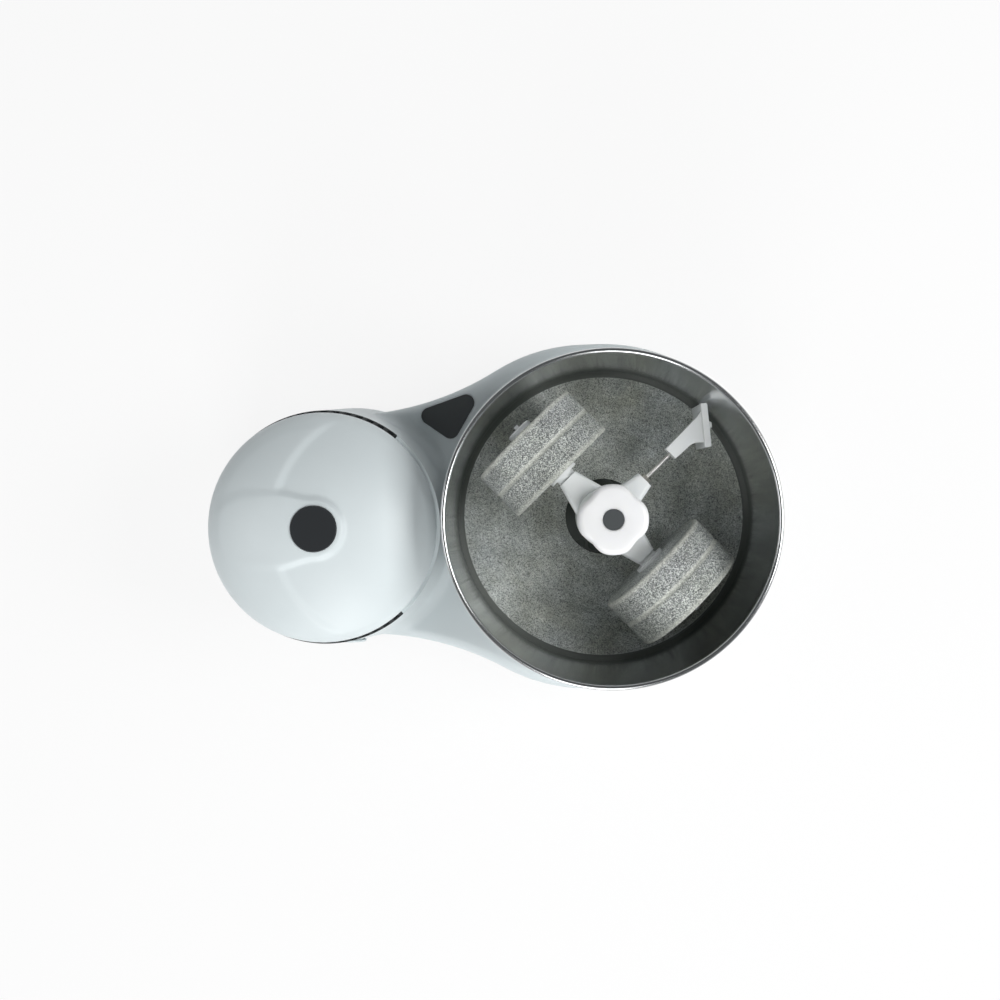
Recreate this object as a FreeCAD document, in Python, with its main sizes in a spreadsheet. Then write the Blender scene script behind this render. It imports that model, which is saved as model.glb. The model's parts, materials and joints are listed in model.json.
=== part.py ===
import FreeCAD, Part
import math
import os
import re
import Sketcher
from FreeCAD import Placement, Rotation, Vector

doc = FreeCAD.newDocument("TabletopWetGrinder")

# Driving dimensions in millimetres and degrees; the rest follow from them
DRIVING = [
    # Housing
    ("axis_gap", 228.5),
    ("drum_end_r", 150.0),
    ("shoulder_shift", 14.0),
    ("waist_r", 250.0),
    ("pear_r", 97.0),
    ("tower_base_r", 108.5),
    ("tower_top_r", 95.0),
    ("draft", 1.0),
    ("wall", 3.0),
    ("gap", 0.35),
    ("run_fit", 0.06),
    ("cut_over", 5.0),
    ("shell_z", 8.0),
    ("deck_z", 104.0),
    ("deck_round", 9.0),
    ("tower_round", 12.0),
    ("bowl_gap", 4.8),
    ("bowl_floor_z", 65.0),
    # Tray, feet and screws
    ("tray_lift", 1.0),
    ("tray_thick", 3.0),
    ("air_ring_r", 80.0),
    ("air_hole_r", 4.0),
    ("foot_r", 11.0),
    ("foot_edge", 1.5),
    ("foot_in", 26.0),
    ("screw_r", 1.5),
    ("screw_deep", 15.0),
    ("screw_head_r", 3.8),
    ("screw_head", 2.4),
    ("boss_wall", 3.4),
    ("boss_tall", 28.0),
    ("boss_in", 0.9),
    ("tower_boss_in", 3.0),
    # Vent and cap
    ("vent_low_z", 160.0),
    ("vent_height", 13.0),
    ("vent_angle", 262.0),
    ("vent_margin", 6.0),
    ("vent_wide", 8.0),
    ("louvre_count", 44.0),
    ("louvre_wide", 2.6),
    ("louvre_deep", 5.0),
    ("louvre_edge", 2.5),
    ("cap_r", 92.3),
    ("cap_skirt", 7.0),
    ("cap_rise", 28.0),
    ("cap_raise", 2.6),
    ("cap_wall", 2.5),
    ("cap_edge", 6.0),
    ("cap_tongue", 6.0),
    ("skin_sink", 1.0),
    ("badge_r", 18.0),
    ("badge_thick", 2.0),
    ("badge_deep", 1.6),
    ("badge_edge", 0.5),
    # Press pad and its switch
    ("pad_shift", 129.2),
    ("pad_inset", 20.9),
    ("button_proud", 1.4),
    ("button_round", 7.0),
    ("button_flange", 2.0),
    ("button_lip", 1.3),
    ("button_travel", 3.0),
    ("stem_r", 3.5),
    ("stem_long", 9.0),
    ("switch_long", 20.0),
    ("switch_wide", 13.0),
    ("switch_tall", 16.0),
    ("bracket_thick", 2.5),
    ("bracket_reach", 27.5),
    # Drum
    ("drum_top_r", 125.0),
    ("drum_floor_r", 123.0),
    ("drum_steel", 1.2),
    ("drum_corner_r", 7.0),
    ("rim_bead_r", 2.0),
    ("rim_step", 1.0),
    ("drum_bottom_z", 71.0),
    ("floor_z", 105.0),
    ("rim_z", 225.0),
    ("seal_wide", 4.4),
    ("seal_deep", 9.0),
    ("seal_proud", 2.2),
    ("seal_dip", 1.6),
    ("stone_chamfer", 3.0),
    ("stone_lift", 8.0),
    ("boss_r", 32.0),
    ("boss_height", 11.0),
    ("boss_edge", 3.0),
    ("boss_slope", 9.0),
    ("tube_r", 22.0),
    ("bush_wall", 2.5),
    ("bush_long", 12.0),
    ("shaft_r", 10.0),
    ("shaft_key", 13.0),
    ("key_long", 22.0),
    ("collar_wide", 4.0),
    ("collar_tall", 3.0),
    ("shaft_short", 18.0),
    ("clip_wide", 3.0),
    ("clip_thick", 2.0),
    # Drive
    ("post_r", 12.0),
    ("post_step_r", 15.0),
    ("post_base_r", 34.0),
    ("post_base", 4.0),
    ("post_cone", 2.0),
    ("post_short", 4.0),
    ("bearing_r", 18.0),
    ("bearing_height", 9.0),
    ("bearing_drop", 2.0),
    ("pulley_r", 85.0),
    ("small_pulley_r", 13.0),
    ("pulley_z", 24.0),
    ("pulley_height", 14.0),
    ("pulley_hub_r", 26.0),
    ("pulley_web", 6.0),
    ("pulley_rim", 8.0),
    ("pulley_hole_r", 13.0),
    ("hub_room", 3.0),
    ("belt_thick", 5.0),
    ("belt_height", 8.0),
    ("belt_lip", 1.0),
    ("coupler_r", 42.0),
    ("coupler_neck_r", 28.0),
    ("coupler_wall", 1.0),
    ("coupler_bore", 5.5),
    ("coupler_lift", 1.0),
    ("seal_lip", 3.0),
    ("lug_ring_r", 33.0),
    ("lug_r", 4.0),
    ("lug_deep", 4.2),
    # Rollers and their hub
    ("roller_r", 50.0),
    ("roller_thick", 45.0),
    ("roller_reach", 73.0),
    ("roller_groove", 3.0),
    ("groove_floor", 1.2),
    ("roller_edge", 1.5),
    ("axle_r", 6.0),
    ("axle_deep", 16.0),
    ("axle_proud", 3.0),
    ("bush_r", 10.0),
    ("flange_r", 13.0),
    ("flange_thick", 2.4),
    ("neck_r", 8.0),
    ("neck_long", 3.5),
    ("end_cap_r", 11.0),
    ("end_cap_thick", 5.6),
    ("end_cap_edge", 1.2),
    ("cap_pin_r", 2.0),
    ("cap_pin", 3.0),
    ("hub_r", 24.0),
    ("hub_edge", 3.0),
    ("hub_shoulder", 15.0),
    ("hub_neck", 6.0),
    ("neck_tall", 16.0),
    ("hub_top_z", 222.0),
    ("arm_tip_wide", 17.3),
    ("arm_root_wide", 35.0),
    ("arm_tall", 20.0),
    ("arm_round", 4.0),
    ("arm_sink", 12.0),
    ("scraper_arm_wide", 14.6),
    ("scraper_arm_short", 1.2),
    ("knob_r", 26.1),
    ("knob_height", 27.0),
    ("knob_edge", 3.0),
    ("knob_flare", 5.0),
    ("knob_crown", 8.0),
    ("knob_crown_r", 9.0),
    ("knob_scallop", 3.8),
    ("scallop_r", 15.0),
    ("knob_spigot", 16.0),
    ("spigot_in", 2.0),
    ("knob_disc_r", 7.8),
    ("knob_disc_thick", 1.2),
    # Scraper
    ("scraper_turn", 223.0),
    ("rod_r", 1.6),
    ("rod_start", 28.0),
    ("rod_sink", 8.0),
    ("nut_wide", 2.6),
    ("nut_thick", 3.4),
    ("holder_long", 34.0),
    ("holder_wide", 10.8),
    ("holder_tall", 14.0),
    ("holder_straight", 11.0),
    ("holder_flare", 0.6),
    ("gusset_r", 16.0),
    ("gusset_in", 4.0),
    ("holder_in", 6.0),
    ("blade_clear", 1.2),
    ("blade_angle", 43.0),
    ("blade_lean", 39.0),
    ("blade_long", 35.0),
    ("blade_thick", 5.0),
    ("blade_tall", 56.0),
    ("blade_lift", 3.5),
    ("rivet_r", 4.0),
    ("rivet_tip_r", 2.2),
    ("rivet_tall", 3.0),
    # Motor, fan and electrics
    ("motor_r", 50.0),
    ("stack_low_z", 70.0),
    ("stack_height", 45.0),
    ("winding_height", 11.0),
    ("winding_gap", 1.0),
    ("winding_in", 4.0),
    ("frame_thick", 5.0),
    ("frame_grip", 2.0),
    ("frame_lap", 3.0),
    ("frame_ear", 14.0),
    ("motor_seat_r", 11.0),
    ("seat_wall", 5.0),
    ("seat_lip", 4.0),
    ("bolt_ring", 8.0),
    ("bolt_r", 2.2),
    ("bolt_head_r", 4.0),
    ("bolt_head", 3.0),
    ("mount_r", 5.5),
    ("mount_foot", 1.5),
    ("mount_foot_tall", 6.0),
    ("rotor_r", 27.0),
    ("rotor_proud", 2.0),
    ("motor_shaft_r", 5.0),
    ("shaft_chamfer", 1.0),
    ("shaft_tail", 4.0),
    ("shaft_head", 27.0),
    ("fan_r", 46.0),
    ("fan_lift", 12.0),
    ("fan_plate", 2.0),
    ("fan_hub_r", 11.0),
    ("fan_hub_tall", 13.0),
    ("fan_blade", 10.0),
    ("fan_blade_thick", 2.0),
    ("fan_root_r", 14.0),
    ("can_shift", 150.0),
    ("can_side", 70.0),
    ("can_r", 17.0),
    ("can_tall", 60.0),
    ("can_edge", 2.0),
    ("cup_wall", 2.5),
    ("cup_tall", 20.0),
    ("gland_z", 34.0),
    ("gland_bore_r", 4.2),
    ("gland_r", 7.5),
    ("gland_head_r", 11.0),
    ("gland_slope", 0.8),
    ("gland_head", 1.6),
    ("gland_deep", 14.0),
    ("gland_lift", 0.2),
]

# Sizes worked out in the sheet from the driving ones
DERIVED = [
    ("drum_x", "-(axis_gap + tower_base_r - drum_end_r) / 2"),
    ("motor_x", "drum_x + axis_gap"),
    ("shoulder_x", "drum_x + shoulder_shift"),
    ("shoulder_gap", "axis_gap - shoulder_shift"),
    ("waist_off", "((waist_r + pear_r)^2 - (waist_r + drum_end_r)^2 + shoulder_gap^2) / (2 * shoulder_gap)"),
    ("waist_x", "motor_x - waist_off"),
    ("waist_y", "sqrt((waist_r + pear_r)^2 - waist_off^2)"),
    ("pear_ux", "(waist_x - motor_x) / (waist_r + pear_r)"),
    ("pear_uy", "waist_y / (waist_r + pear_r)"),
    ("shoulder_ux", "(waist_x - shoulder_x) / (waist_r + drum_end_r)"),
    ("shoulder_uy", "waist_y / (waist_r + drum_end_r)"),
    ("tray_z", "shell_z + tray_lift"),
    ("tray_top_z", "tray_z + tray_thick"),
    ("vent_top_z", "vent_low_z + vent_height"),
    ("tower_lean", "(tower_base_r - tower_top_r) / (vent_low_z - shell_z)"),
    ("dome_low_z", "vent_top_z + cap_skirt"),
    ("dome_top_z", "dome_low_z + cap_rise"),
    ("dome_r", "(cap_r^2 + cap_rise^2) / (2 * cap_rise)"),
    ("raised_rise", "cap_rise + cap_raise"),
    ("raised_r", "(cap_r^2 + raised_rise^2) / (2 * raised_rise)"),
    ("raised_top_z", "dome_low_z + raised_rise"),
    ("badge_z", "raised_top_z - badge_deep"),
    ("pad_x", "drum_x + pad_shift"),
    ("pad_y", "sqrt(waist_r^2 - (pad_x - waist_x)^2) - waist_y + pad_inset"),
    ("button_flange_z", "deck_z - wall - gap - button_flange"),
    ("stem_low_z", "button_flange_z - stem_long"),
    ("switch_top_z", "stem_low_z - button_travel - gap"),
    ("bracket_z", "switch_top_z - switch_tall - bracket_thick"),
    ("widest_r", "max(drum_top_r; drum_floor_r)"),
    ("bowl_r", "widest_r + drum_steel + bowl_gap"),
    ("stone_r", "drum_floor_r - seal_wide"),
    ("bead_z", "rim_z - rim_bead_r"),
    ("roller_z", "floor_z + roller_r + gap"),
    ("roller_in", "roller_reach - roller_thick / 2"),
    ("roller_out", "roller_reach + roller_thick / 2"),
    ("arm_tip", "roller_in - flange_thick - neck_long - gap"),
    ("axle_start", "arm_tip - axle_deep"),
    ("axle_end", "roller_out + gap + axle_proud"),
    ("shaft_step_z", "floor_z + boss_height + gap"),
    ("hub_low_z", "shaft_step_z + collar_tall"),
    ("knob_low_z", "hub_top_z + gap"),
    ("knob_top_z", "knob_low_z + knob_height"),
    ("hub_hole_r", "coupler_neck_r + seal_lip"),
    ("pulley_hub_top_z", "bowl_floor_z - wall - hub_room"),
    ("pulley_top_z", "pulley_z + pulley_height"),
    ("pulley_mid_z", "pulley_z + pulley_height / 2"),
    ("belt_sin", "(pulley_r - small_pulley_r) / axis_gap"),
    ("belt_cos", "sqrt(1 - belt_sin^2)"),
    ("coupler_low_z", "bowl_floor_z + coupler_lift"),
    ("coupler_top_z", "drum_bottom_z - gap"),
    ("shaft_key_z", "bowl_floor_z - key_long"),
    ("blade_low_z", "floor_z + blade_lift"),
    ("blade_share", "(blade_low_z + blade_tall - floor_z) / (bead_z - floor_z)"),
    ("blade_wall_r", "min(drum_floor_r; drum_floor_r + (drum_top_r - drum_floor_r) * blade_share)"),
    ("blade_r", "blade_wall_r - blade_clear"),
    ("blade_face", "blade_r * cos(blade_angle * 1 deg) - blade_thick"),
    ("blade_far", "blade_r * sin(blade_angle * 1 deg)"),
    ("blade_near", "blade_far - blade_long"),
    ("lean_cos", "cos(blade_lean * 1 deg)"),
    ("lean_sin", "sin(blade_lean * 1 deg)"),
    ("rod_reach", "blade_face * lean_cos + (blade_far + blade_near) / 2 * lean_sin - holder_long"),
    ("stack_top_z", "stack_low_z + stack_height"),
    ("frame_low_z", "stack_low_z - winding_height - frame_thick"),
    ("frame_top_z", "stack_top_z + winding_height + winding_gap"),
    ("fan_z", "frame_top_z + fan_lift"),
]

NAMES = {name for name, _ in DRIVING} | {name for name, _ in DERIVED}
NODES = []

sheet = doc.addObject("Spreadsheet::Sheet", "Dims")


def fill_sheet():
    for row, (name, number) in enumerate(DRIVING, start=1):
        sheet.set("A%d" % row, name)
        sheet.set("B%d" % row, str(number))
        sheet.setAlias("B%d" % row, name)
    for row, (name, formula) in enumerate(DERIVED, start=len(DRIVING) + 1):
        sheet.set("A%d" % row, name)
        sheet.set("B%d" % row, "=" + formula)
        sheet.setAlias("B%d" % row, name)
    doc.recompute()


def size(text):
    """Number the sheet gives for an expression in its own names."""
    return float(sheet.evalExpression(text))


def bound(text):
    """The same expression with each sheet name written as a reference."""
    def refer(match):
        word = match.group(0)
        return "Dims." + word if word in NAMES else word
    return re.sub(r"[a-z][a-z_0-9]*", refer, text)


# Sketch helpers


def sketch_on(body, name, role):
    plane = next(item for item in body.Origin.OriginFeatures if item.Role == role)
    sketch = body.newObject("Sketcher::SketchObject", name)
    sketch.AttachmentSupport = [(plane, "")]
    sketch.MapMode = "FlatFace"
    return sketch


def tie(sketch, constraint, text):
    index = sketch.addConstraint(constraint)
    sketch.setExpression("Constraints[%d]" % index, bound(text))


def arc_between(start, end, radius):
    """Arc from start to end, its centre left of the way for a positive radius."""
    chord = end - start
    half = chord.Length / 2
    left = Vector(-chord.y, chord.x, 0).normalize()
    rise = math.sqrt(max(radius * radius - half * half, 0.0))
    centre = (start + end) * 0.5 + left * math.copysign(rise, radius)
    circle = Part.Circle(centre, Vector(0, 0, 1), abs(radius))
    first, last = (start, end) if radius > 0 else (end, start)
    angles = [math.atan2(p.y - centre.y, p.x - centre.x) for p in (first, last)]
    if angles[1] <= angles[0]:
        angles[1] += 2 * math.pi
    return Part.ArcOfCircle(circle, angles[0], angles[1])


def outline(sketch, corners):
    """Closed loop, counter-clockwise; a corner is (across, up) or (across, up, arc radius to the next)."""
    base = sketch.GeometryCount
    count = len(corners)
    points = [Vector(size(c[0]), size(c[1]), 0) for c in corners]
    starts = []
    ends = []
    for index, corner in enumerate(corners):
        start = points[index]
        end = points[(index + 1) % count]
        flipped = False
        if len(corner) == 3:
            radius = size(corner[2])
            flipped = radius < 0
            sketch.addGeometry(arc_between(start, end, radius))
        else:
            sketch.addGeometry(Part.LineSegment(start, end))
        starts.append(2 if flipped else 1)
        ends.append(1 if flipped else 2)
    for index in range(count):
        after = (index + 1) % count
        sketch.addConstraint(Sketcher.Constraint("Coincident", base + index, ends[index],
                                                 base + after, starts[after]))
    for index, corner in enumerate(corners):
        at = (base + index, starts[index])
        tie(sketch, Sketcher.Constraint("DistanceX", -1, 1, at[0], at[1], points[index].x), corner[0])
        tie(sketch, Sketcher.Constraint("DistanceY", -1, 1, at[0], at[1], points[index].y), corner[1])
        if len(corner) == 3:
            tie(sketch, Sketcher.Constraint("Radius", base + index, abs(size(corner[2]))),
                "abs(%s)" % corner[2])


# Feature helpers


def place(item, x="0", y="0", z="0", rotation=None):
    if rotation is not None:
        item.Placement = Placement(Vector(0, 0, 0), rotation)
    item.setExpression("Placement.Base.x", bound(x))
    item.setExpression("Placement.Base.y", bound(y))
    item.setExpression("Placement.Base.z", bound(z))
    return item


def new_body(name):
    body = doc.addObject("PartDesign::Body", name)
    body.Label = name
    return body


def revolve(body, name, corners, angle=None, cut=False, axis_x="0"):
    """Turn a profile drawn in the body's XZ plane about an upright axis."""
    sketch = sketch_on(body, name + "_profile", "XZ_Plane")
    sketch.setExpression("AttachmentOffset.Base.x", bound(axis_x))
    outline(sketch, corners)
    kind = "PartDesign::Groove" if cut else "PartDesign::Revolution"
    feature = body.newObject(kind, name + "_turn")
    feature.Profile = sketch
    feature.ReferenceAxis = (sketch, ["V_Axis"])
    feature.Angle = 360
    if angle is not None:
        feature.Midplane = True
        feature.setExpression("Angle", bound(angle))
    body.Tip = feature
    return feature


def turned(name, corners, x="0", y="0", z="0", rotation=None, angle=None):
    body = new_body(name)
    revolve(body, name, corners, angle)
    return place(body, x, y, z, rotation)


def pad(body, name, draw, length, level="0", taper=None):
    """Extrude upward what draw() puts in a level sketch."""
    sketch = sketch_on(body, name + "_plan", "XY_Plane")
    sketch.setExpression("AttachmentOffset.Base.z", bound(level))
    draw(sketch)
    feature = body.newObject("PartDesign::Pad", name + "_rise")
    feature.Profile = sketch
    feature.setExpression("Length", bound(length))
    if taper is not None:
        feature.setExpression("TaperAngle", bound(taper))
    body.Tip = feature
    return feature


def prism(name, draw, length, x="0", y="0", z="0", rotation=None):
    body = new_body(name)
    pad(body, name, draw, length)
    return place(body, x, y, z, rotation)


def cylinder(name, radius, height, x="0", y="0", z="0", rotation=None):
    item = doc.addObject("Part::Cylinder", name)
    item.setExpression("Radius", bound(radius))
    item.setExpression("Height", bound(height))
    return place(item, x, y, z, rotation)


def cone(name, low, high, height, x="0", y="0", z="0", rotation=None):
    item = doc.addObject("Part::Cone", name)
    item.setExpression("Radius1", bound(low))
    item.setExpression("Radius2", bound(high))
    item.setExpression("Height", bound(height))
    return place(item, x, y, z, rotation)


def block(name, length, width, height, x="0", y="0", z="0", rotation=None):
    item = doc.addObject("Part::Box", name)
    item.setExpression("Length", bound(length))
    item.setExpression("Width", bound(width))
    item.setExpression("Height", bound(height))
    return place(item, x, y, z, rotation)


def joined(name, items):
    item = doc.addObject("Part::MultiFuse", name)
    item.Shapes = items
    item.Refine = True
    return item


def cut_from(name, base, tool):
    item = doc.addObject("Part::Cut", name)
    item.Base = base
    item.Tool = tool
    item.Refine = True
    return item


def group(name, items):
    item = doc.addObject("Part::Compound", name)
    item.Links = items
    return item


def node(item, label):
    item.Label = label
    NODES.append(item)
    return item


def washer(inner, outer, low, high):
    """Profile of a plain ring."""
    return [(inner, low), (outer, low), (outer, high), (inner, high)]


def disc(outer, low, high):
    return washer("0", outer, low, high)


def pear(inset):
    """Outline of the housing, drawn in by an inset."""
    end = "(drum_end_r - %s)" % inset
    motor = "(pear_r - %s)" % inset
    hollow = "-(waist_r + %s)" % inset
    shoulder = ("shoulder_x + shoulder_ux * " + end, "shoulder_uy * " + end)
    waist = ("motor_x + pear_ux * " + motor, "pear_uy * " + motor)
    return [
        ("drum_x", end, end),
        ("drum_x - " + end, "0", end),
        ("drum_x", "-" + end),
        ("shoulder_x", "-" + end, end),
        (shoulder[0], "-" + shoulder[1], hollow),
        (waist[0], "-" + waist[1], motor),
        ("motor_x + " + motor, "0", motor),
        (waist[0], waist[1], hollow),
        (shoulder[0], shoulder[1], end),
        ("shoulder_x", end),
    ]


def polar(axis_x, radius, degrees):
    turn = math.radians(degrees)
    return ("%s + (%s) * %.6f" % (axis_x, radius, math.cos(turn)), "(%s) * %.6f" % (radius, math.sin(turn)))


# Housing and the fixed pieces


def tower_r(level, inset="0"):
    return "(tower_base_r - tower_lean * (%s - shell_z) - %s)" % (level, inset)


def soften(body, name, feature, radius, wanted):
    """Round the edges of a feature that the test picks."""
    doc.recompute()
    edges = ["Edge%d" % (i + 1) for i, edge in enumerate(feature.Shape.Edges) if wanted(edge)]
    rounding = body.newObject("PartDesign::Fillet", name)
    rounding.Base = (feature, edges)
    rounding.setExpression("Radius", bound(radius))
    body.Tip = rounding
    return rounding


def pear_block(name, inset, top):
    """Lower part of the housing drawn in by an inset, up to its deck."""
    body = new_body(name)
    pad(body, name + "_pear", lambda sketch: outline(sketch, pear(inset)), top + " - shell_z",
        level="shell_z", taper="-draft")
    return body


def add_tower(body, name, inset, top):
    revolve(body, name, [
        ("0", "shell_z"),
        (tower_r("shell_z", inset), "shell_z"),
        (tower_r(top, inset), top),
        ("0", top),
    ], axis_x="motor_x")


def scoop(body, name, radius, low):
    """Take the drum's seat out of a block, clear through its top."""
    revolve(body, name, disc(radius, low, "rim_z"), cut=True, axis_x="drum_x")


def middle_of(edge):
    return edge.valueAt((edge.FirstParameter + edge.LastParameter) / 2)


def on_deck_edge(edge):
    return all(abs(vertex.Z - size("deck_z")) < 0.01 for vertex in edge.Vertexes)


def on_tower_foot(edge):
    """Where the tower rises from the deck and from the deck's rounded edge."""
    middle = middle_of(edge)
    reach = math.hypot(middle.x - size("motor_x"), middle.y)
    on_tower = abs(reach - size(tower_r("%f" % middle.z))) < 0.05
    bent = edge.Curve.TypeId != "Part::GeomLine"
    return bent and on_tower and size("shell_z") + 0.1 < middle.z < size("deck_z") + 0.1


def outer_block():
    body = pear_block("housing_outer", "0", "deck_z")
    soften(body, "deck_edge_round", body.Tip, "deck_round", on_deck_edge)
    add_tower(body, "tower", "0", "vent_low_z")
    soften(body, "tower_foot_round", body.Tip, "tower_round", on_tower_foot)
    revolve(body, "vent_bridge", [
        ("-tower_top_r", "vent_low_z - cut_over"),
        ("wall - tower_top_r", "vent_low_z - cut_over"),
        ("wall - tower_top_r", "vent_top_z"),
        ("-tower_top_r", "vent_top_z"),
    ], angle="360 - vent_angle - 1", axis_x="motor_x")
    scoop(body, "drum_seat", "bowl_r", "bowl_floor_z")
    return body


def inner_block():
    body = pear_block("housing_inner", "wall", "deck_z - wall")
    add_tower(body, "tower_room", "wall", "vent_top_z + cut_over")
    scoop(body, "drum_seat_skin", "bowl_r + wall", "bowl_floor_z - wall")
    return body


# Corners of the press pad from its middle, before rounding
BUTTON_TIPS = [(16.3, -1.0), (-1.2, 12.0), (-15.2, -11.0)]
SCREWS = [("drum_x", "drum_end_r", 180), ("drum_x", "drum_end_r", 112), ("drum_x", "drum_end_r", -112),
          ("motor_x", "tower_base_r - tower_boss_in", 52), ("motor_x", "tower_base_r - tower_boss_in", -52)]
FEET = [("drum_x", "drum_end_r", 132), ("drum_x", "drum_end_r", -132),
        ("motor_x", "tower_base_r", 62), ("motor_x", "tower_base_r", -62)]
SCRAPER_TURN = dict(DRIVING)["scraper_turn"]
ROLLER_TURNS = {"a": SCRAPER_TURN - 270, "b": SCRAPER_TURN - 90}
BLADE_TURN = SCRAPER_TURN - dict(DRIVING)["blade_lean"]
QUARTERS = (0, 90, 180, 270)
THIRDS = (0, 120, 240)
AIR_HOLES = 12
PULLEY_HOLES = 6
FAN_BLADES = 9
FAN_SWEEP = 12


def button_plan(grow):
    """Triangle of the press pad with round corners, grown all round."""
    radius = "(button_round + %s)" % grow
    corners = []
    for index, tip in enumerate(BUTTON_TIPS):
        before = BUTTON_TIPS[index - 1]
        after = BUTTON_TIPS[(index + 1) % 3]
        for first, last, curved in ((before, tip, True), (tip, after, False)):
            way = Vector(last[0] - first[0], last[1] - first[1], 0).normalize()
            spot = ("pad_x + %.3f + %s * %.6f" % (tip[0], radius, way.y),
                    "pad_y + %.3f - %s * %.6f" % (tip[1], radius, way.x))
            corners.append(spot + (radius,) if curved else spot)
    return corners


def screw_spots():
    return [polar(axis, radius + " - wall - boss_wall - boss_in", turn) for axis, radius, turn in SCREWS]


def along(degrees):
    """Rotation that lays an upright piece outward from the drum axis."""
    turn = math.radians(degrees)
    return Rotation(Vector(0, 0, 1), Vector(math.cos(turn), math.sin(turn), 0))


TO_REAR = Rotation(Vector(0, 0, 1), Vector(0, 1, 0))


def housing():
    outer = outer_block()
    shell = cut_from("housing_shell", outer, inner_block())
    bosses = [cylinder("screw_boss_%d" % i, "screw_r + boss_wall", "boss_tall", x, y, "tray_top_z")
              for i, (x, y) in enumerate(screw_spots())]
    holes = [cylinder("boss_hole_%d" % i, "screw_r + gap", "screw_deep + 2 * cut_over", x, y,
                      "tray_top_z - cut_over") for i, (x, y) in enumerate(screw_spots())]
    holes.append(cylinder("spindle_hole", "hub_hole_r", "wall + 2 * cut_over", "drum_x", "0",
                          "bowl_floor_z - wall - cut_over"))
    holes.append(cylinder("gland_hole", "gland_r", "gland_deep + 3 * cut_over", "motor_x",
                          "tower_base_r - gland_deep - cut_over", "gland_z", TO_REAR))
    holes.append(prism("button_hole", lambda sketch: outline(sketch, button_plan("gap")),
                       "wall + 2 * cut_over", z="deck_z - wall - cut_over"))
    solid = joined("housing_with_bosses", [shell] + bosses)
    node(cut_from("housing_body", solid, group("housing_holes", holes)), "housing")


def base_tray():
    body = new_body("tray_plate")
    pad(body, "tray_pear", lambda sketch: outline(sketch, pear("(wall + gap + gap / 3)")), "tray_thick",
        level="tray_z")
    revolve(body, "tray_round", disc(tower_r("tray_top_z", "(wall + gap)"), "tray_z", "tray_top_z"),
            axis_x="motor_x")
    deep = "tray_thick + 2 * cut_over"
    low = "tray_z - cut_over"
    holes = [cylinder("tray_screw_hole_%d" % i, "screw_r + gap", deep, x, y, low)
             for i, (x, y) in enumerate(screw_spots())]
    for index in range(AIR_HOLES):
        x, y = polar("motor_x", "air_ring_r", (index + 0.5) * 360 / AIR_HOLES)
        holes.append(cylinder("tray_air_hole_%d" % index, "air_hole_r", deep, x, y, low))
    node(cut_from("tray_drilled", body, group("tray_holes", holes)), "base_tray")


def rubber_feet():
    profile = [("0", "0"), ("foot_r - foot_edge", "0"), ("foot_r", "foot_edge"),
               ("foot_r - foot_edge / 2", "tray_z"), ("0", "tray_z")]
    feet = []
    for index, (axis, radius, turn) in enumerate(FEET):
        x, y = polar(axis, radius + " - foot_in", turn)
        feet.append(turned("foot_%d" % index, profile, x, y))
    node(group("feet", feet), "rubber_feet")


def tray_screws():
    profile = [
        ("0", "tray_z - screw_head"),
        ("screw_head_r - screw_head / 4", "tray_z - screw_head"),
        ("screw_head_r", "tray_z - screw_head / 2"),
        ("screw_head_r", "tray_z"),
        ("screw_r", "tray_z"),
        ("screw_r", "tray_top_z + screw_deep - screw_r"),
        ("0", "tray_top_z + screw_deep"),
    ]
    screws = [turned("tray_screw_%d" % i, profile, x, y) for i, (x, y) in enumerate(screw_spots())]
    node(group("screws", screws), "tray_screws")


def sphere_z(top, radius, across):
    """Height of a dome of a given top and radius at a distance from its axis."""
    return "(%s - (%s) + sqrt((%s)^2 - (%s)^2))" % (top, radius, radius, across)


def cap_dome():
    inner_r = "(cap_r - cap_wall)"
    body = new_body("cap_dome")
    revolve(body, "cap_dome", [
        (inner_r, "vent_top_z"),
        ("cap_r", "vent_top_z"),
        ("cap_r", "dome_low_z", "dome_r"),
        ("0", "dome_top_z"),
        ("0", "dome_top_z - cap_wall", "-(dome_r - cap_wall)"),
        (inner_r, sphere_z("(dome_top_z - cap_wall)", "dome_r - cap_wall", inner_r)),
    ])

    def on_shoulder(edge):
        return abs(middle_of(edge).z - size("dome_low_z")) < 0.01 and edge.Length > size("6 * cap_r")

    soften(body, "cap_edge_round", body.Tip, "cap_skirt", on_shoulder)
    return body


def cap_raised_side():
    """Raised crescent away from the drum, with a tongue round the badge."""
    skin = "(dome_r - skin_sink)"
    edge_r = "(cap_r - cap_edge)"
    lens = turned("cap_raised_skin", [
        (edge_r, sphere_z("(dome_top_z - skin_sink)", skin, edge_r)),
        (edge_r, sphere_z("raised_top_z", "raised_r", edge_r), "raised_r"),
        ("0", "raised_top_z"),
        ("0", "dome_top_z - skin_sink", "-" + skin),
    ])
    tongue = "(badge_r + cap_tongue)"
    plan = [
        ("-0.4 * cap_r", "-cap_r"),
        ("1.2 * cap_r", "-cap_r"),
        ("1.2 * cap_r", "cap_r"),
        ("-0.4 * cap_r", "cap_r", "-1.2 * cap_r"),
        ("0.3 * cap_r", tongue + " * 1.25"),
        ("0", tongue, tongue),
        ("-" + tongue, "0", tongue),
        ("0", "-" + tongue),
        ("0.3 * cap_r", "-%s * 1.25" % tongue, "-1.2 * cap_r"),
    ]
    side = doc.addObject("Part::Common", "cap_raised")
    side.Base = lens
    side.Tool = prism("cap_raised_plan", lambda sketch: outline(sketch, plan),
                      "cap_skirt + raised_rise + cut_over", z="vent_top_z")
    return side


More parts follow.
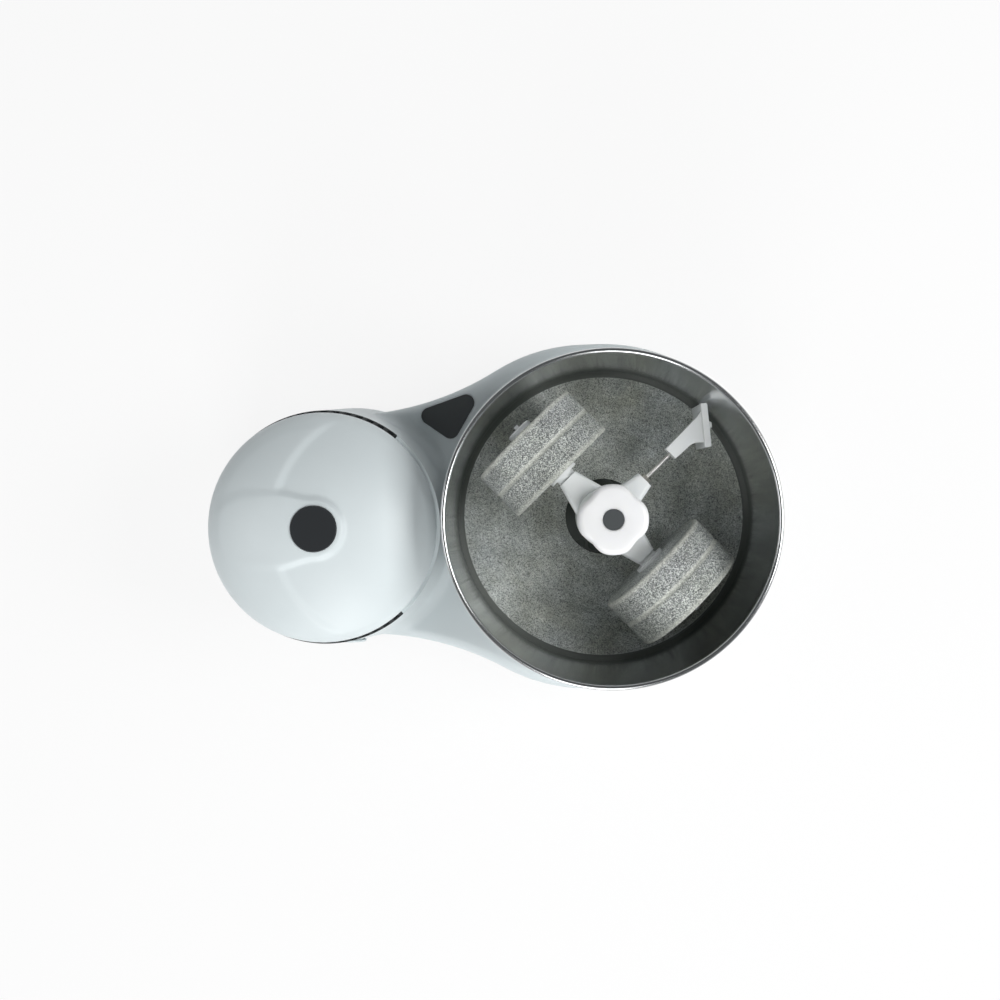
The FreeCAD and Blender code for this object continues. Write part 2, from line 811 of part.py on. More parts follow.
def motor_cap():
    whole = joined("cap_whole", [cap_dome(), cap_raised_side()])
    seat = cylinder("badge_seat", "badge_r + gap", "badge_deep + cut_over", z="badge_z")
    node(place(cut_from("cap", whole, seat), "motor_x"), "motor_cap")
    node(turned("badge", [
        ("0", "badge_z"),
        ("badge_r", "badge_z"),
        ("badge_r", "badge_z + badge_thick - badge_edge"),
        ("badge_r - badge_edge", "badge_z + badge_thick"),
        ("0", "badge_z + badge_thick"),
    ], "motor_x"), "cap_badge")


def vent_ring():
    inner_r = "(tower_top_r - vent_wide)"
    whole = turned("vent_band", washer(inner_r, "tower_top_r", "vent_low_z", "vent_top_z"), "motor_x",
                   angle="vent_angle")
    slots = []
    count = int(size("louvre_count"))
    span = size("vent_angle - 2 * vent_margin")
    for index in range(count):
        turn = -span / 2 + span * index / (count - 1)
        x, y = polar("motor_x", "tower_top_r - louvre_deep", turn)
        slots.append(block("louvre_%d" % index, "louvre_deep + cut_over", "louvre_wide",
                           "vent_height - 2 * louvre_edge", x, y, "vent_low_z + louvre_edge",
                           Rotation(Vector(0, 0, 1), turn)))
    node(cut_from("vent_louvred", whole, group("louvres", slots)), "vent_ring")


def press_button():
    face = prism("button_face", lambda sketch: outline(sketch, button_plan("0")),
                 "wall + gap + button_flange / 2 + button_proud", z="button_flange_z + button_flange / 2")
    flange = prism("button_flange_plate", lambda sketch: outline(sketch, button_plan("button_lip")),
                   "button_flange", z="button_flange_z")
    stem = cylinder("button_stem", "stem_r", "stem_long + button_flange / 2", "pad_x", "pad_y", "stem_low_z")
    node(joined("button", [face, flange, stem]), "press_button")
    side = "pad_y - switch_wide / 2"
    node(block("switch", "switch_long", "switch_wide", "switch_tall", "pad_x - switch_long / 2", side,
               "switch_top_z - switch_tall"), "switch_body")
    shelf = block("bracket_shelf", "switch_long / 2 + bracket_reach + bracket_thick", "switch_wide",
                  "bracket_thick", "pad_x - switch_long / 2", side, "bracket_z")
    leg = block("bracket_leg", "bracket_thick", "switch_wide", "deck_z - wall - bracket_z",
                "pad_x + bracket_reach", side, "bracket_z")
    node(joined("bracket", [shelf, leg]), "switch_bracket")


# Drive under the drum


def drive_post():
    step_z = "pulley_z - bearing_drop"
    post = turned("post_turned", [
        ("0", "tray_top_z"),
        ("post_base_r", "tray_top_z"),
        ("post_base_r", "tray_top_z + post_base"),
        ("post_step_r", "tray_top_z + post_base + post_cone"),
        ("post_step_r", step_z),
        ("post_r", step_z),
        ("post_r", "bowl_floor_z - post_short"),
        ("0", "bowl_floor_z - post_short"),
    ], "drum_x")
    socket = block("key_socket", "shaft_key + 2 * gap", "shaft_key + 2 * gap", "key_long + cut_over",
                   "drum_x - shaft_key / 2 - gap", "-shaft_key / 2 - gap", "shaft_key_z - 3 * gap")
    node(cut_from("post", post, socket), "drive_post")
    top = "pulley_hub_top_z - bearing_drop"
    low = washer("post_r", "bearing_r", step_z, step_z + " + bearing_height")
    high = washer("post_r", "bearing_r", top + " - bearing_height", top)
    node(group("bearings", [turned("bearing_low", low, "drum_x"), turned("bearing_high", high, "drum_x")]),
         "drive_bearings")


def belt_groove(floor, flange):
    """Outer side of a belt pulley, from its lower to its upper face."""
    low = "pulley_mid_z - belt_height / 2 - gap"
    high = "pulley_mid_z + belt_height / 2 + gap"
    return [(flange, "pulley_z"), (flange, low), (floor, low), (floor, high), (flange, high),
            (flange, "pulley_top_z")]


def drum_pulley():
    bore = "bearing_r + run_fit"
    rim = "pulley_r - pulley_rim"
    web_low = "pulley_mid_z - pulley_web / 2"
    web_high = "pulley_mid_z + pulley_web / 2"
    hub_low = "pulley_z - bearing_drop"
    profile = [(bore, hub_low), ("pulley_hub_r", hub_low), ("pulley_hub_r", web_low), (rim, web_low),
               (rim, "pulley_z")]
    profile += belt_groove("pulley_r", "pulley_r + belt_thick + belt_lip")
    profile += [(rim, "pulley_top_z"), (rim, web_high), ("pulley_hub_r", web_high),
                ("pulley_hub_r", "pulley_hub_top_z"), (bore, "pulley_hub_top_z")]
    wheel = turned("drum_wheel", profile, "drum_x")
    holes = []
    for index in range(PULLEY_HOLES):
        x, y = polar("drum_x", "(pulley_r - pulley_rim + pulley_hub_r) / 2", index * 360 / PULLEY_HOLES)
        holes.append(cylinder("pulley_hole_%d" % index, "pulley_hole_r", "pulley_web + 2 * cut_over", x, y,
                              web_low + " - cut_over"))
    node(cut_from("drum_wheel_holed", wheel, group("pulley_holes", holes)), "drum_pulley")


def drive_coupler():
    body = turned("coupler_turned", [
        ("bearing_r + coupler_wall", "pulley_hub_top_z"),
        ("coupler_neck_r", "pulley_hub_top_z"),
        ("coupler_neck_r", "coupler_low_z"),
        ("coupler_r", "coupler_low_z"),
        ("coupler_r", "coupler_top_z"),
        ("shaft_r + coupler_bore", "coupler_top_z"),
        ("shaft_r + coupler_bore", "coupler_low_z"),
        ("bearing_r + coupler_wall", "coupler_low_z"),
    ], "drum_x")
    slots = []
    for turn in THIRDS:
        x, y = polar("drum_x", "lug_ring_r", turn)
        slots.append(cylinder("lug_slot_%d" % turn, "lug_r + 2 * gap", "lug_deep + 2 * cut_over", x, y,
                              "coupler_low_z - cut_over"))
    node(cut_from("coupler", body, group("lug_slots", slots)), "drive_coupler")
    node(turned("lip", washer("coupler_neck_r + gap", "hub_hole_r", "bowl_floor_z - wall",
                              "bowl_floor_z + coupler_lift / 2"), "drum_x"), "splash_seal")


def belt_loop(grow):
    """Belt line round both pulleys, grown outward."""
    big = "(pulley_r + gap + %s)" % grow
    small = "(small_pulley_r + gap + %s)" % grow
    big_spot = ("drum_x + belt_sin * " + big, "belt_cos * " + big)
    small_spot = ("motor_x + belt_sin * " + small, "belt_cos * " + small)
    return [
        (big_spot[0], big_spot[1], big),
        ("drum_x - " + big, "0", big),
        (big_spot[0], "-" + big_spot[1]),
        (small_spot[0], "-" + small_spot[1], small),
        ("motor_x + " + small, "0", small),
        (small_spot[0], small_spot[1]),
    ]


def drive_belt():
    def draw(sketch):
        outline(sketch, belt_loop("belt_thick"))
        outline(sketch, belt_loop("0"))
    node(prism("belt", draw, "belt_height", z="pulley_mid_z - belt_height / 2"), "drive_belt")


# Motor in the tower


def bolt_spots(turn_shift):
    return [polar("motor_x", "motor_r + bolt_ring", turn + turn_shift) for turn in QUARTERS]


def motor_frames():
    """Two end frames that clamp the stator, drilled for the long bolts."""
    ear = "motor_r + frame_ear"
    grip = "motor_r + frame_grip"
    lap = "motor_r - frame_lap"
    seat_out = "motor_seat_r + seat_wall"
    low_out = "frame_low_z - seat_lip"
    low_in = "frame_low_z + frame_thick"
    high_out = "frame_top_z + frame_thick"
    lower = turned("frame_low", [
        ("motor_seat_r", low_out), (seat_out, low_out), (seat_out, "frame_low_z"), (ear, "frame_low_z"),
        (ear, low_in), (grip, low_in), (grip, "stack_low_z"), (lap, "stack_low_z"), (lap, low_in),
        ("motor_seat_r", low_in),
    ], "motor_x")
    upper = turned("frame_high", [
        ("motor_seat_r", "frame_top_z"), (lap, "frame_top_z"), (lap, "stack_top_z"), (grip, "stack_top_z"),
        (grip, "frame_top_z"), (ear, "frame_top_z"), (ear, high_out), (seat_out, high_out),
        (seat_out, high_out + " + seat_lip"), ("motor_seat_r", high_out + " + seat_lip"),
    ], "motor_x")
    deep = high_out + " - frame_low_z"
    ways = group("bolt_ways", [cylinder("bolt_way_%d" % i, "bolt_r", deep, x, y, "frame_low_z")
                               for i, (x, y) in enumerate(bolt_spots(0))])
    node(cut_from("frame_low_drilled", lower, ways), "motor_frame_lower")
    node(cut_from("frame_high_drilled", upper, ways), "motor_frame_upper")


def motor_bearings():
    bore = "motor_shaft_r + run_fit"
    low = washer(bore, "motor_seat_r", "frame_low_z - seat_lip", "frame_low_z + frame_thick")
    high = washer(bore, "motor_seat_r", "frame_top_z", "frame_top_z + frame_thick + seat_lip")
    node(group("motor_bearing_pair", [turned("motor_bearing_low", low, "motor_x"),
                                      turned("motor_bearing_high", high, "motor_x")]), "motor_bearings")


def stator():
    node(turned("stack", washer("rotor_r + 2 * gap", "motor_r", "stack_low_z", "stack_top_z"), "motor_x"),
         "stator_core")
    inner, outer = "rotor_r + winding_in", "motor_r - winding_in"
    low = washer(inner, outer, "stack_low_z - winding_height + winding_gap", "stack_low_z")
    high = washer(inner, outer, "stack_top_z", "stack_top_z + winding_height - winding_gap")
    node(group("windings", [turned("winding_low", low, "motor_x"), turned("winding_high", high, "motor_x")]),
         "stator_windings")


def motor_fixings():
    mount = [("0", "tray_top_z"), ("mount_r + mount_foot", "tray_top_z"),
             ("mount_r", "tray_top_z + mount_foot_tall"), ("mount_r", "frame_low_z"), ("0", "frame_low_z")]
    low = "frame_low_z - bolt_head"
    under_nut = "frame_top_z + frame_thick"
    high = under_nut + " + bolt_head"
    bolt = [("0", low), ("bolt_head_r", low), ("bolt_head_r", "frame_low_z"), ("bolt_r", "frame_low_z"),
            ("bolt_r", under_nut), ("bolt_head_r", under_nut), ("bolt_head_r", high), ("0", high)]
    node(group("mounts", [turned("mount_%d" % i, mount, x, y) for i, (x, y) in enumerate(bolt_spots(45))]),
         "motor_mounts")
    node(group("bolts", [turned("bolt_%d" % i, bolt, x, y) for i, (x, y) in enumerate(bolt_spots(0))]),
         "motor_bolts")


def rotor():
    core = washer("motor_shaft_r", "rotor_r", "stack_low_z - rotor_proud", "stack_top_z + rotor_proud")
    node(turned("core", core, "motor_x"), "rotor_core")
    tail = "pulley_z - shaft_tail"
    node(turned("spindle", [
        ("0", tail), ("motor_shaft_r - shaft_chamfer", tail), ("motor_shaft_r", tail + " + shaft_chamfer"),
        ("motor_shaft_r", "frame_top_z + shaft_head"), ("0", "frame_top_z + shaft_head"),
    ], "motor_x"), "motor_shaft")
    profile = [("motor_shaft_r", "pulley_z")]
    profile += belt_groove("small_pulley_r", "small_pulley_r + belt_thick + belt_lip")
    profile += [("motor_shaft_r", "pulley_top_z")]
    node(turned("small_wheel", profile, "motor_x"), "motor_pulley")


def cooling_fan():
    plate = turned("fan_disc", [
        ("motor_shaft_r", "fan_z"), ("fan_r", "fan_z"), ("fan_r", "fan_z + fan_plate"),
        ("fan_hub_r", "fan_z + fan_plate"), ("fan_hub_r", "fan_z + fan_hub_tall"),
        ("motor_shaft_r", "fan_z + fan_hub_tall")], "motor_x")
    blades = []
    for index in range(FAN_BLADES):
        turn = index * 360 / FAN_BLADES
        x, y = polar("motor_x", "fan_root_r", turn)
        blades.append(block("fan_blade_%d" % index, "fan_r - fan_root_r - fan_plate", "fan_blade_thick",
                            "fan_blade", x, y, "fan_z + fan_plate / 2",
                            Rotation(Vector(0, 0, 1), turn + FAN_SWEEP)))
    node(joined("fan", [plate] + blades), "cooling_fan")


def electrics():
    spot = ("drum_x + can_shift", "can_side")
    top = "tray_top_z + can_tall"
    node(turned("can", [("0", "tray_top_z"), ("can_r", "tray_top_z"), ("can_r", top + " - can_edge"),
                        ("can_r - can_edge", top), ("0", top)], *spot), "capacitor")
    node(turned("can_cup", washer("can_r", "can_r + cup_wall", "tray_top_z", "tray_top_z + cup_tall"), *spot),
         "capacitor_cup")
    face = tower_r("(gland_z - gland_head_r)") + " + gland_lift"
    node(turned("gland", [
        ("gland_bore_r", face + " - gland_deep"),
        ("gland_r", face + " - gland_deep"),
        ("gland_r", face),
        ("gland_head_r", face),
        ("gland_head_r - gland_slope", face + " + gland_head"),
        ("gland_bore_r", face + " + gland_head"),
    ], "motor_x", "0", "gland_z", TO_REAR), "cord_gland")


# Drum and what turns with it


def drum():
    floor_in = "(drum_bottom_z + drum_steel)"
    corner_x = "drum_floor_r + drum_steel - drum_corner_r"
    corner_z = "drum_bottom_z + drum_corner_r"
    bead_x = "(drum_top_r + rim_bead_r)"
    node(turned("shell", [
        ("tube_r", "drum_bottom_z"),
        (corner_x, "drum_bottom_z", "drum_corner_r"),
        ("drum_floor_r + drum_steel", corner_z),
        ("drum_floor_r + drum_steel", "floor_z"),
        ("drum_top_r + drum_steel", "bead_z - rim_bead_r - rim_step"),
        (bead_x, "bead_z - rim_bead_r", "rim_bead_r"),
        (bead_x + " + rim_bead_r", "bead_z", "rim_bead_r"),
        (bead_x, "rim_z", "rim_bead_r"),
        ("drum_top_r", "bead_z"),
        ("drum_floor_r", "floor_z"),
        ("drum_floor_r", corner_z, "-(drum_corner_r - drum_steel)"),
        (corner_x, floor_in),
        ("tube_r", floor_in),
    ], "drum_x"), "drum_shell")
    node(turned("stone", [
        ("tube_r", floor_in),
        ("stone_r - stone_chamfer", floor_in),
        ("stone_r", floor_in + " + stone_lift"),
        ("stone_r", "floor_z"),
        ("tube_r", "floor_z"),
    ], "drum_x"), "stone_base")
    node(turned("seal", [
        ("stone_r", "floor_z - seal_deep"),
        ("drum_floor_r", "floor_z - seal_deep"),
        ("drum_floor_r", "floor_z + seal_proud"),
        ("stone_r + seal_dip", "floor_z + gap"),
        ("stone_r", "floor_z"),
    ], "drum_x"), "seal_ring")


def drum_boss():
    bore = "(shaft_r + bush_wall)"
    top = "floor_z + boss_height"
    node(turned("boss", [
        (bore, "drum_bottom_z"), ("tube_r", "drum_bottom_z"), ("tube_r", "floor_z"), ("boss_r", "floor_z"),
        ("boss_r", "floor_z + boss_edge"), ("boss_r - boss_slope", top), (bore, top)], "drum_x"), "drum_boss")
    fit = "shaft_r + run_fit"
    low = washer(fit, bore, "drum_bottom_z", "drum_bottom_z + bush_long")
    high = washer(fit, bore, top + " - bush_long", top)
    node(group("bush_pair", [turned("bush_low", low, "drum_x"), turned("bush_high", high, "drum_x")]),
         "shaft_bushes")
    lugs = []
    for turn in THIRDS:
        x, y = polar("drum_x", "lug_ring_r", turn)
        lugs.append(cylinder("lug_%d" % turn, "lug_r", "lug_deep", x, y, "drum_bottom_z - lug_deep"))
    node(group("lugs", lugs), "drive_lugs")


def centre_shaft():
    collar = "shaft_r + collar_wide"
    top = "hub_top_z - shaft_short"
    round_part = turned("shaft_round", [
        ("0", "bowl_floor_z"), ("shaft_r", "bowl_floor_z"), ("shaft_r", "shaft_step_z"),
        (collar, "shaft_step_z"), (collar, "hub_low_z"), ("shaft_r", "hub_low_z"),
        ("shaft_r", top + " - shaft_chamfer"), ("shaft_r - shaft_chamfer", top), ("0", top)], "drum_x")
    key = block("shaft_square", "shaft_key", "shaft_key", "key_long + cut_over / 2", "drum_x - shaft_key / 2",
                "-shaft_key / 2", "shaft_key_z")
    node(joined("shaft", [round_part, key]), "centre_shaft")
    node(turned("clip", washer("shaft_r", "shaft_r + clip_wide", "drum_bottom_z - gap - clip_thick",
                               "drum_bottom_z - gap"), "drum_x"), "shaft_clip")


# Roller set


def arm_block(name, turn, root, tip, reach):
    """Tapered arm of the hub with rounded long edges, lying outward from the drum axis."""
    body = prism(name, lambda sketch: outline(sketch, [
        ("hub_r - arm_sink", "-%s / 2" % root),
        (reach, "-%s / 2" % tip),
        (reach, tip + " / 2"),
        ("hub_r - arm_sink", root + " / 2"),
    ]), "arm_tall", "drum_x", "0", "roller_z - arm_tall / 2", Rotation(Vector(0, 0, 1), turn))

    def runs_outward(edge):
        first, last = [vertex.Point for vertex in edge.Vertexes]
        return abs(last.x - first.x) > abs(last.y - first.y) + abs(last.z - first.z)

    soften(body, name + "_round", body.Tip, "arm_round", runs_outward)
    return body


def roller_carrier():
    bore = "shaft_r + gap"
    shoulder = "roller_z + hub_shoulder"
    neck = "hub_r - hub_neck"
    hub = turned("hub", [
        (bore, "hub_low_z"), ("hub_r - hub_edge", "hub_low_z"), ("hub_r", "hub_low_z + hub_edge"),
        ("hub_r", shoulder), (neck, "hub_top_z - neck_tall"), (neck, "hub_top_z"), (bore, "hub_top_z"),
    ], "drum_x")
    parts = [hub]
    ways = [cylinder("shaft_way", bore, "hub_top_z", "drum_x", "0", "0")]
    for name, turn in ROLLER_TURNS.items():
        parts.append(arm_block("arm_" + name, turn, "arm_root_wide", "arm_tip_wide", "arm_tip"))
        x, y = polar("drum_x", "axle_start", turn)
        ways.append(cylinder("axle_way_" + name, "axle_r", "axle_deep + cut_over", x, y, "roller_z",
                             along(turn)))
    parts.append(arm_block("arm_scraper", SCRAPER_TURN, "(arm_root_wide - 2 * arm_round)", "scraper_arm_wide",
                           "(arm_tip - scraper_arm_short)"))
    x, y = polar("drum_x", "shaft_r", SCRAPER_TURN)
    ways.append(cylinder("rod_way", "rod_r + gap", "rod_reach - shaft_r", x, y, "roller_z",
                         along(SCRAPER_TURN)))
    node(cut_from("carrier", joined("carrier_whole", parts), group("carrier_ways", ways)), "roller_carrier")


def rollers():
    face = "(roller_out + gap)"
    crown = face + " + end_cap_thick"
    axle = [("0", "axle_start"), ("axle_r", "axle_start"), ("axle_r", "axle_end"), ("0", "axle_end")]
    cap = [("axle_r", face), ("end_cap_r", face), ("end_cap_r", crown + " - end_cap_edge"),
           ("end_cap_r - end_cap_edge", crown), ("cap_pin_r", crown), ("cap_pin_r", crown + " + cap_pin"),
           ("0", crown + " + cap_pin"), ("0", "axle_end"), ("axle_r", "axle_end")]
    groove = "roller_r - roller_groove"
    edge = "roller_r - roller_edge"
    stone = [
        ("bush_r", "roller_in"), (edge, "roller_in"), ("roller_r", "roller_in + roller_edge"),
        ("roller_r", "roller_reach - roller_groove / 2"), (groove, "roller_reach - groove_floor / 2"),
        (groove, "roller_reach + groove_floor / 2"), ("roller_r", "roller_reach + roller_groove / 2"),
        ("roller_r", "roller_out - roller_edge"), (edge, "roller_out"), ("bush_r", "roller_out")]
    bore = "axle_r + run_fit"
    flange_in = "roller_in - flange_thick"
    neck_in = flange_in + " - neck_long"
    bush = [(bore, neck_in), ("neck_r", neck_in), ("neck_r", flange_in), ("flange_r", flange_in),
            ("flange_r", "roller_in"), ("bush_r", "roller_in"), ("bush_r", "roller_out"),
            (bore, "roller_out")]
    axles = []
    caps = []
    for name, turn in ROLLER_TURNS.items():
        axles.append(turned("axle_" + name, axle, "drum_x", "0", "roller_z", along(turn)))
        caps.append(turned("end_cap_" + name, cap, "drum_x", "0", "roller_z", along(turn)))
        node(turned("stone_" + name, stone, "drum_x", "0", "roller_z", along(turn)), "roller_stone_" + name)
        node(turned("bush_" + name, bush, "drum_x", "0", "roller_z", along(turn)), "roller_bush_" + name)
    node(group("axles", axles), "roller_axles")
    node(group("end_caps", caps), "axle_caps")


def lock_knob():
    spigot_r = "shaft_r - spigot_in"
    seat_r = "knob_disc_r + gap"
    seat_z = "knob_top_z - knob_disc_thick"
    body = turned("knob_turned", [
        ("0", "hub_top_z - knob_spigot"), (spigot_r, "hub_top_z - knob_spigot"), (spigot_r, "knob_low_z"),
        ("knob_r - knob_edge", "knob_low_z"), ("knob_r", "knob_low_z + knob_flare"),
        ("knob_r", "knob_top_z - knob_crown", "knob_crown_r"), ("knob_r - knob_crown", "knob_top_z"),
        (seat_r, "knob_top_z"), (seat_r, seat_z), ("0", seat_z)], "drum_x")
    scallops = []
    for turn in QUARTERS:
        x, y = polar("drum_x", "knob_r - knob_scallop + scallop_r", turn + 45)
        scallops.append(cylinder("scallop_%d" % turn, "scallop_r", "knob_height + 2 * cut_over", x, y,
                                 "knob_low_z - cut_over"))
    node(cut_from("knob", body, group("scallops", scallops)), "lock_knob")
    node(turned("dot", disc("knob_disc_r", seat_z, "knob_top_z"), "drum_x"), "knob_disc")


# Scraper


def on_blade(across):
    """Point of the blade's inner face at a distance toward the front, seen along the scraper's arm."""
    return ("(blade_face * lean_cos + %s * lean_sin)" % across,
            "(%s * lean_cos - blade_face * lean_sin)" % across)


def scraper_rod():
    start = "(arm_tip - scraper_arm_short)"
    nut = doc.addObject("Part::Prism", "nut_hex")
    nut.Polygon = 6
    nut.setExpression("Circumradius", bound("rod_r + nut_wide"))
    nut.setExpression("Height", bound("nut_thick"))
    x, y = polar("drum_x", start, SCRAPER_TURN)
    place(nut, x, y, "roller_z", along(SCRAPER_TURN))
    x, y = polar("drum_x", start + " - cut_over", SCRAPER_TURN)
    way = cylinder("nut_way", "rod_r + gap", "nut_thick + 2 * cut_over", x, y, "roller_z",
                   along(SCRAPER_TURN))
    node(cut_from("nut", nut, way), "locknut")
    node(turned("rod", disc("rod_r", "rod_start", "rod_reach + rod_sink"), "drum_x", "0", "roller_z",
                along(SCRAPER_TURN)), "scraper_rod")


def scraper_holder():
    """Bar that flares into the blade, with a curved gusset on its lower side."""
    upper = on_blade("(blade_far - holder_in)")
    bar = prism("holder_bar", lambda sketch: outline(sketch, [
        ("rod_reach", "-holder_wide / 2"),
        ("rod_reach + holder_straight", "-holder_wide / 2 - holder_flare", "-gusset_r"),
        on_blade("(blade_near + gusset_in)"),
        upper,
        (upper[0] + " - holder_in", "holder_wide / 2 + holder_flare"),
        ("rod_reach", "holder_wide / 2"),
    ]), "holder_tall", "drum_x", "0", "roller_z - holder_tall / 2", Rotation(Vector(0, 0, 1), SCRAPER_TURN))
    x, y = polar("drum_x", "rod_reach", SCRAPER_TURN)
    seat = cylinder("rod_seat", "rod_r", "rod_sink", x, y, "roller_z", along(SCRAPER_TURN))
    node(cut_from("holder", bar, seat), "scraper_holder")


def scraper_blade():
    outer = "blade_face + blade_thick"
    plate = prism("blade_plate", lambda sketch: outline(sketch, [
        ("blade_face", "blade_near"), (outer, "blade_near"),
        (outer, "blade_far"), ("blade_face", "blade_far"),
    ]), "blade_tall", "drum_x", "0", "blade_low_z", Rotation(Vector(0, 0, 1), BLADE_TURN))
    turn = "(%s * 1 deg)" % BLADE_TURN
    along_blade = "(blade_far + blade_near) / 2"
    x = "drum_x + (%s) * cos%s - %s * sin%s" % (outer, turn, along_blade, turn)
    y = "(%s) * sin%s + %s * cos%s" % (outer, turn, along_blade, turn)
    rivet = cone("blade_rivet", "rivet_r", "rivet_tip_r", "rivet_tall", x, y, "roller_z", along(BLADE_TURN))
    node(joined("blade", [plate, rivet]), "scraper_blade")


def finish():
    doc.recompute()
    for item in doc.Objects:
        if "Invalid" in item.State or "Error" in item.State:
            raise RuntimeError("%s: %s" % (item.Name, item.State))
    os.makedirs("parts", exist_ok=True)
    for item in NODES:
        if item.Shape.isNull() or not item.Shape.isValid():
            raise RuntimeError("bad shape in " + item.Label)
        item.Shape.exportStep("parts/%s.step" % item.Label)
        print(item.Label, len(item.Shape.Solids), round(item.Shape.Volume))


fill_sheet()
housing()
base_tray()
rubber_feet()
tray_screws()
motor_cap()
vent_ring()
press_button()
drive_post()
drum_pulley()
drive_coupler()
drive_belt()
motor_frames()
motor_bearings()
stator()
motor_fixings()
rotor()
cooling_fan()
electrics()
drum()
drum_boss()
centre_shaft()
roller_carrier()
rollers()
lock_knob()
scraper_rod()
scraper_holder()
scraper_blade()
finish()
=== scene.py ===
import bmesh
import bpy
import json
import math
from mathutils import Matrix, Vector, noise


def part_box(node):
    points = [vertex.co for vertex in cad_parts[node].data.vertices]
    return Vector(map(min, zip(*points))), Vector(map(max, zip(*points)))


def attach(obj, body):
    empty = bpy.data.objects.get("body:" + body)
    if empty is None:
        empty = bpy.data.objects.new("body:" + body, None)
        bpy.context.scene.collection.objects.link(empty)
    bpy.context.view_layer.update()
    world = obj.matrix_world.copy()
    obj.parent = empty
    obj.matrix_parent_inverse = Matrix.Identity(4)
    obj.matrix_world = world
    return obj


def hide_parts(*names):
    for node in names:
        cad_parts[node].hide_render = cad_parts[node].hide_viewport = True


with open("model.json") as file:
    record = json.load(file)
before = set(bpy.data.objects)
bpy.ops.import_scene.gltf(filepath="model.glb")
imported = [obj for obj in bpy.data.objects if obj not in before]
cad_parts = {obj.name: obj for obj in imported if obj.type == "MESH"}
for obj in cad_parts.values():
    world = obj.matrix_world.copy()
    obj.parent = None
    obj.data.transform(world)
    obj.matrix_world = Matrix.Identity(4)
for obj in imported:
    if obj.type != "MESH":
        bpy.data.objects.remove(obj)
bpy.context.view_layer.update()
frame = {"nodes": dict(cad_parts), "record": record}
NODES = frame["nodes"]

# Places and sizes read from the frame, in metres

MM = 0.001
X, Y, Z = range(3)
UP = Vector((0, 0, 1))


def middle(node):
    low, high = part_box(node)
    return (low + high) / 2


def half_size(node, axis=X):
    low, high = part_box(node)
    return (high[axis] - low[axis]) / 2


def levels(node):
    """A node's lowest and highest levels."""
    low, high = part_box(node)
    return low.z, high.z


DRUM = middle("drum_shell")
DRUM_LOW_Z, RIM_Z = levels("drum_shell")
RIM_R = half_size("drum_shell")
STONE_TOP_Z = levels("stone_base")[1]
MOTOR = middle("motor_cap")
CAP_LOW_Z = levels("motor_cap")[0]
CAP_R = half_size("motor_cap")
BADGE_LOW_Z = levels("cap_badge")[0]
BADGE_R = half_size("cap_badge")
VENT_LOW_Z, VENT_TOP_Z = levels("vent_ring")
VENT_R = half_size("vent_ring", Y)
ROLLER_A = middle("roller_stone_a")
ROLLER_B = middle("roller_stone_b")
AXLE = (ROLLER_A - ROLLER_B).normalized()
KNOB_LOW_Z, KNOB_TOP_Z = levels("lock_knob")
KNOB_R = half_size("lock_knob")
DISC = middle("knob_disc")
DISC_LOW_Z = levels("knob_disc")[0]
DISC_R = half_size("knob_disc")


# Node helpers for materials


def set_stops(band, stops):
    """Give a colour ramp its stops, each a place and a colour."""
    while len(band.elements) < len(stops):
        band.elements.new(0.5)
    for element, (at, colour) in zip(band.elements, stops):
        element.position = at
        element.color = (*colour, 1)


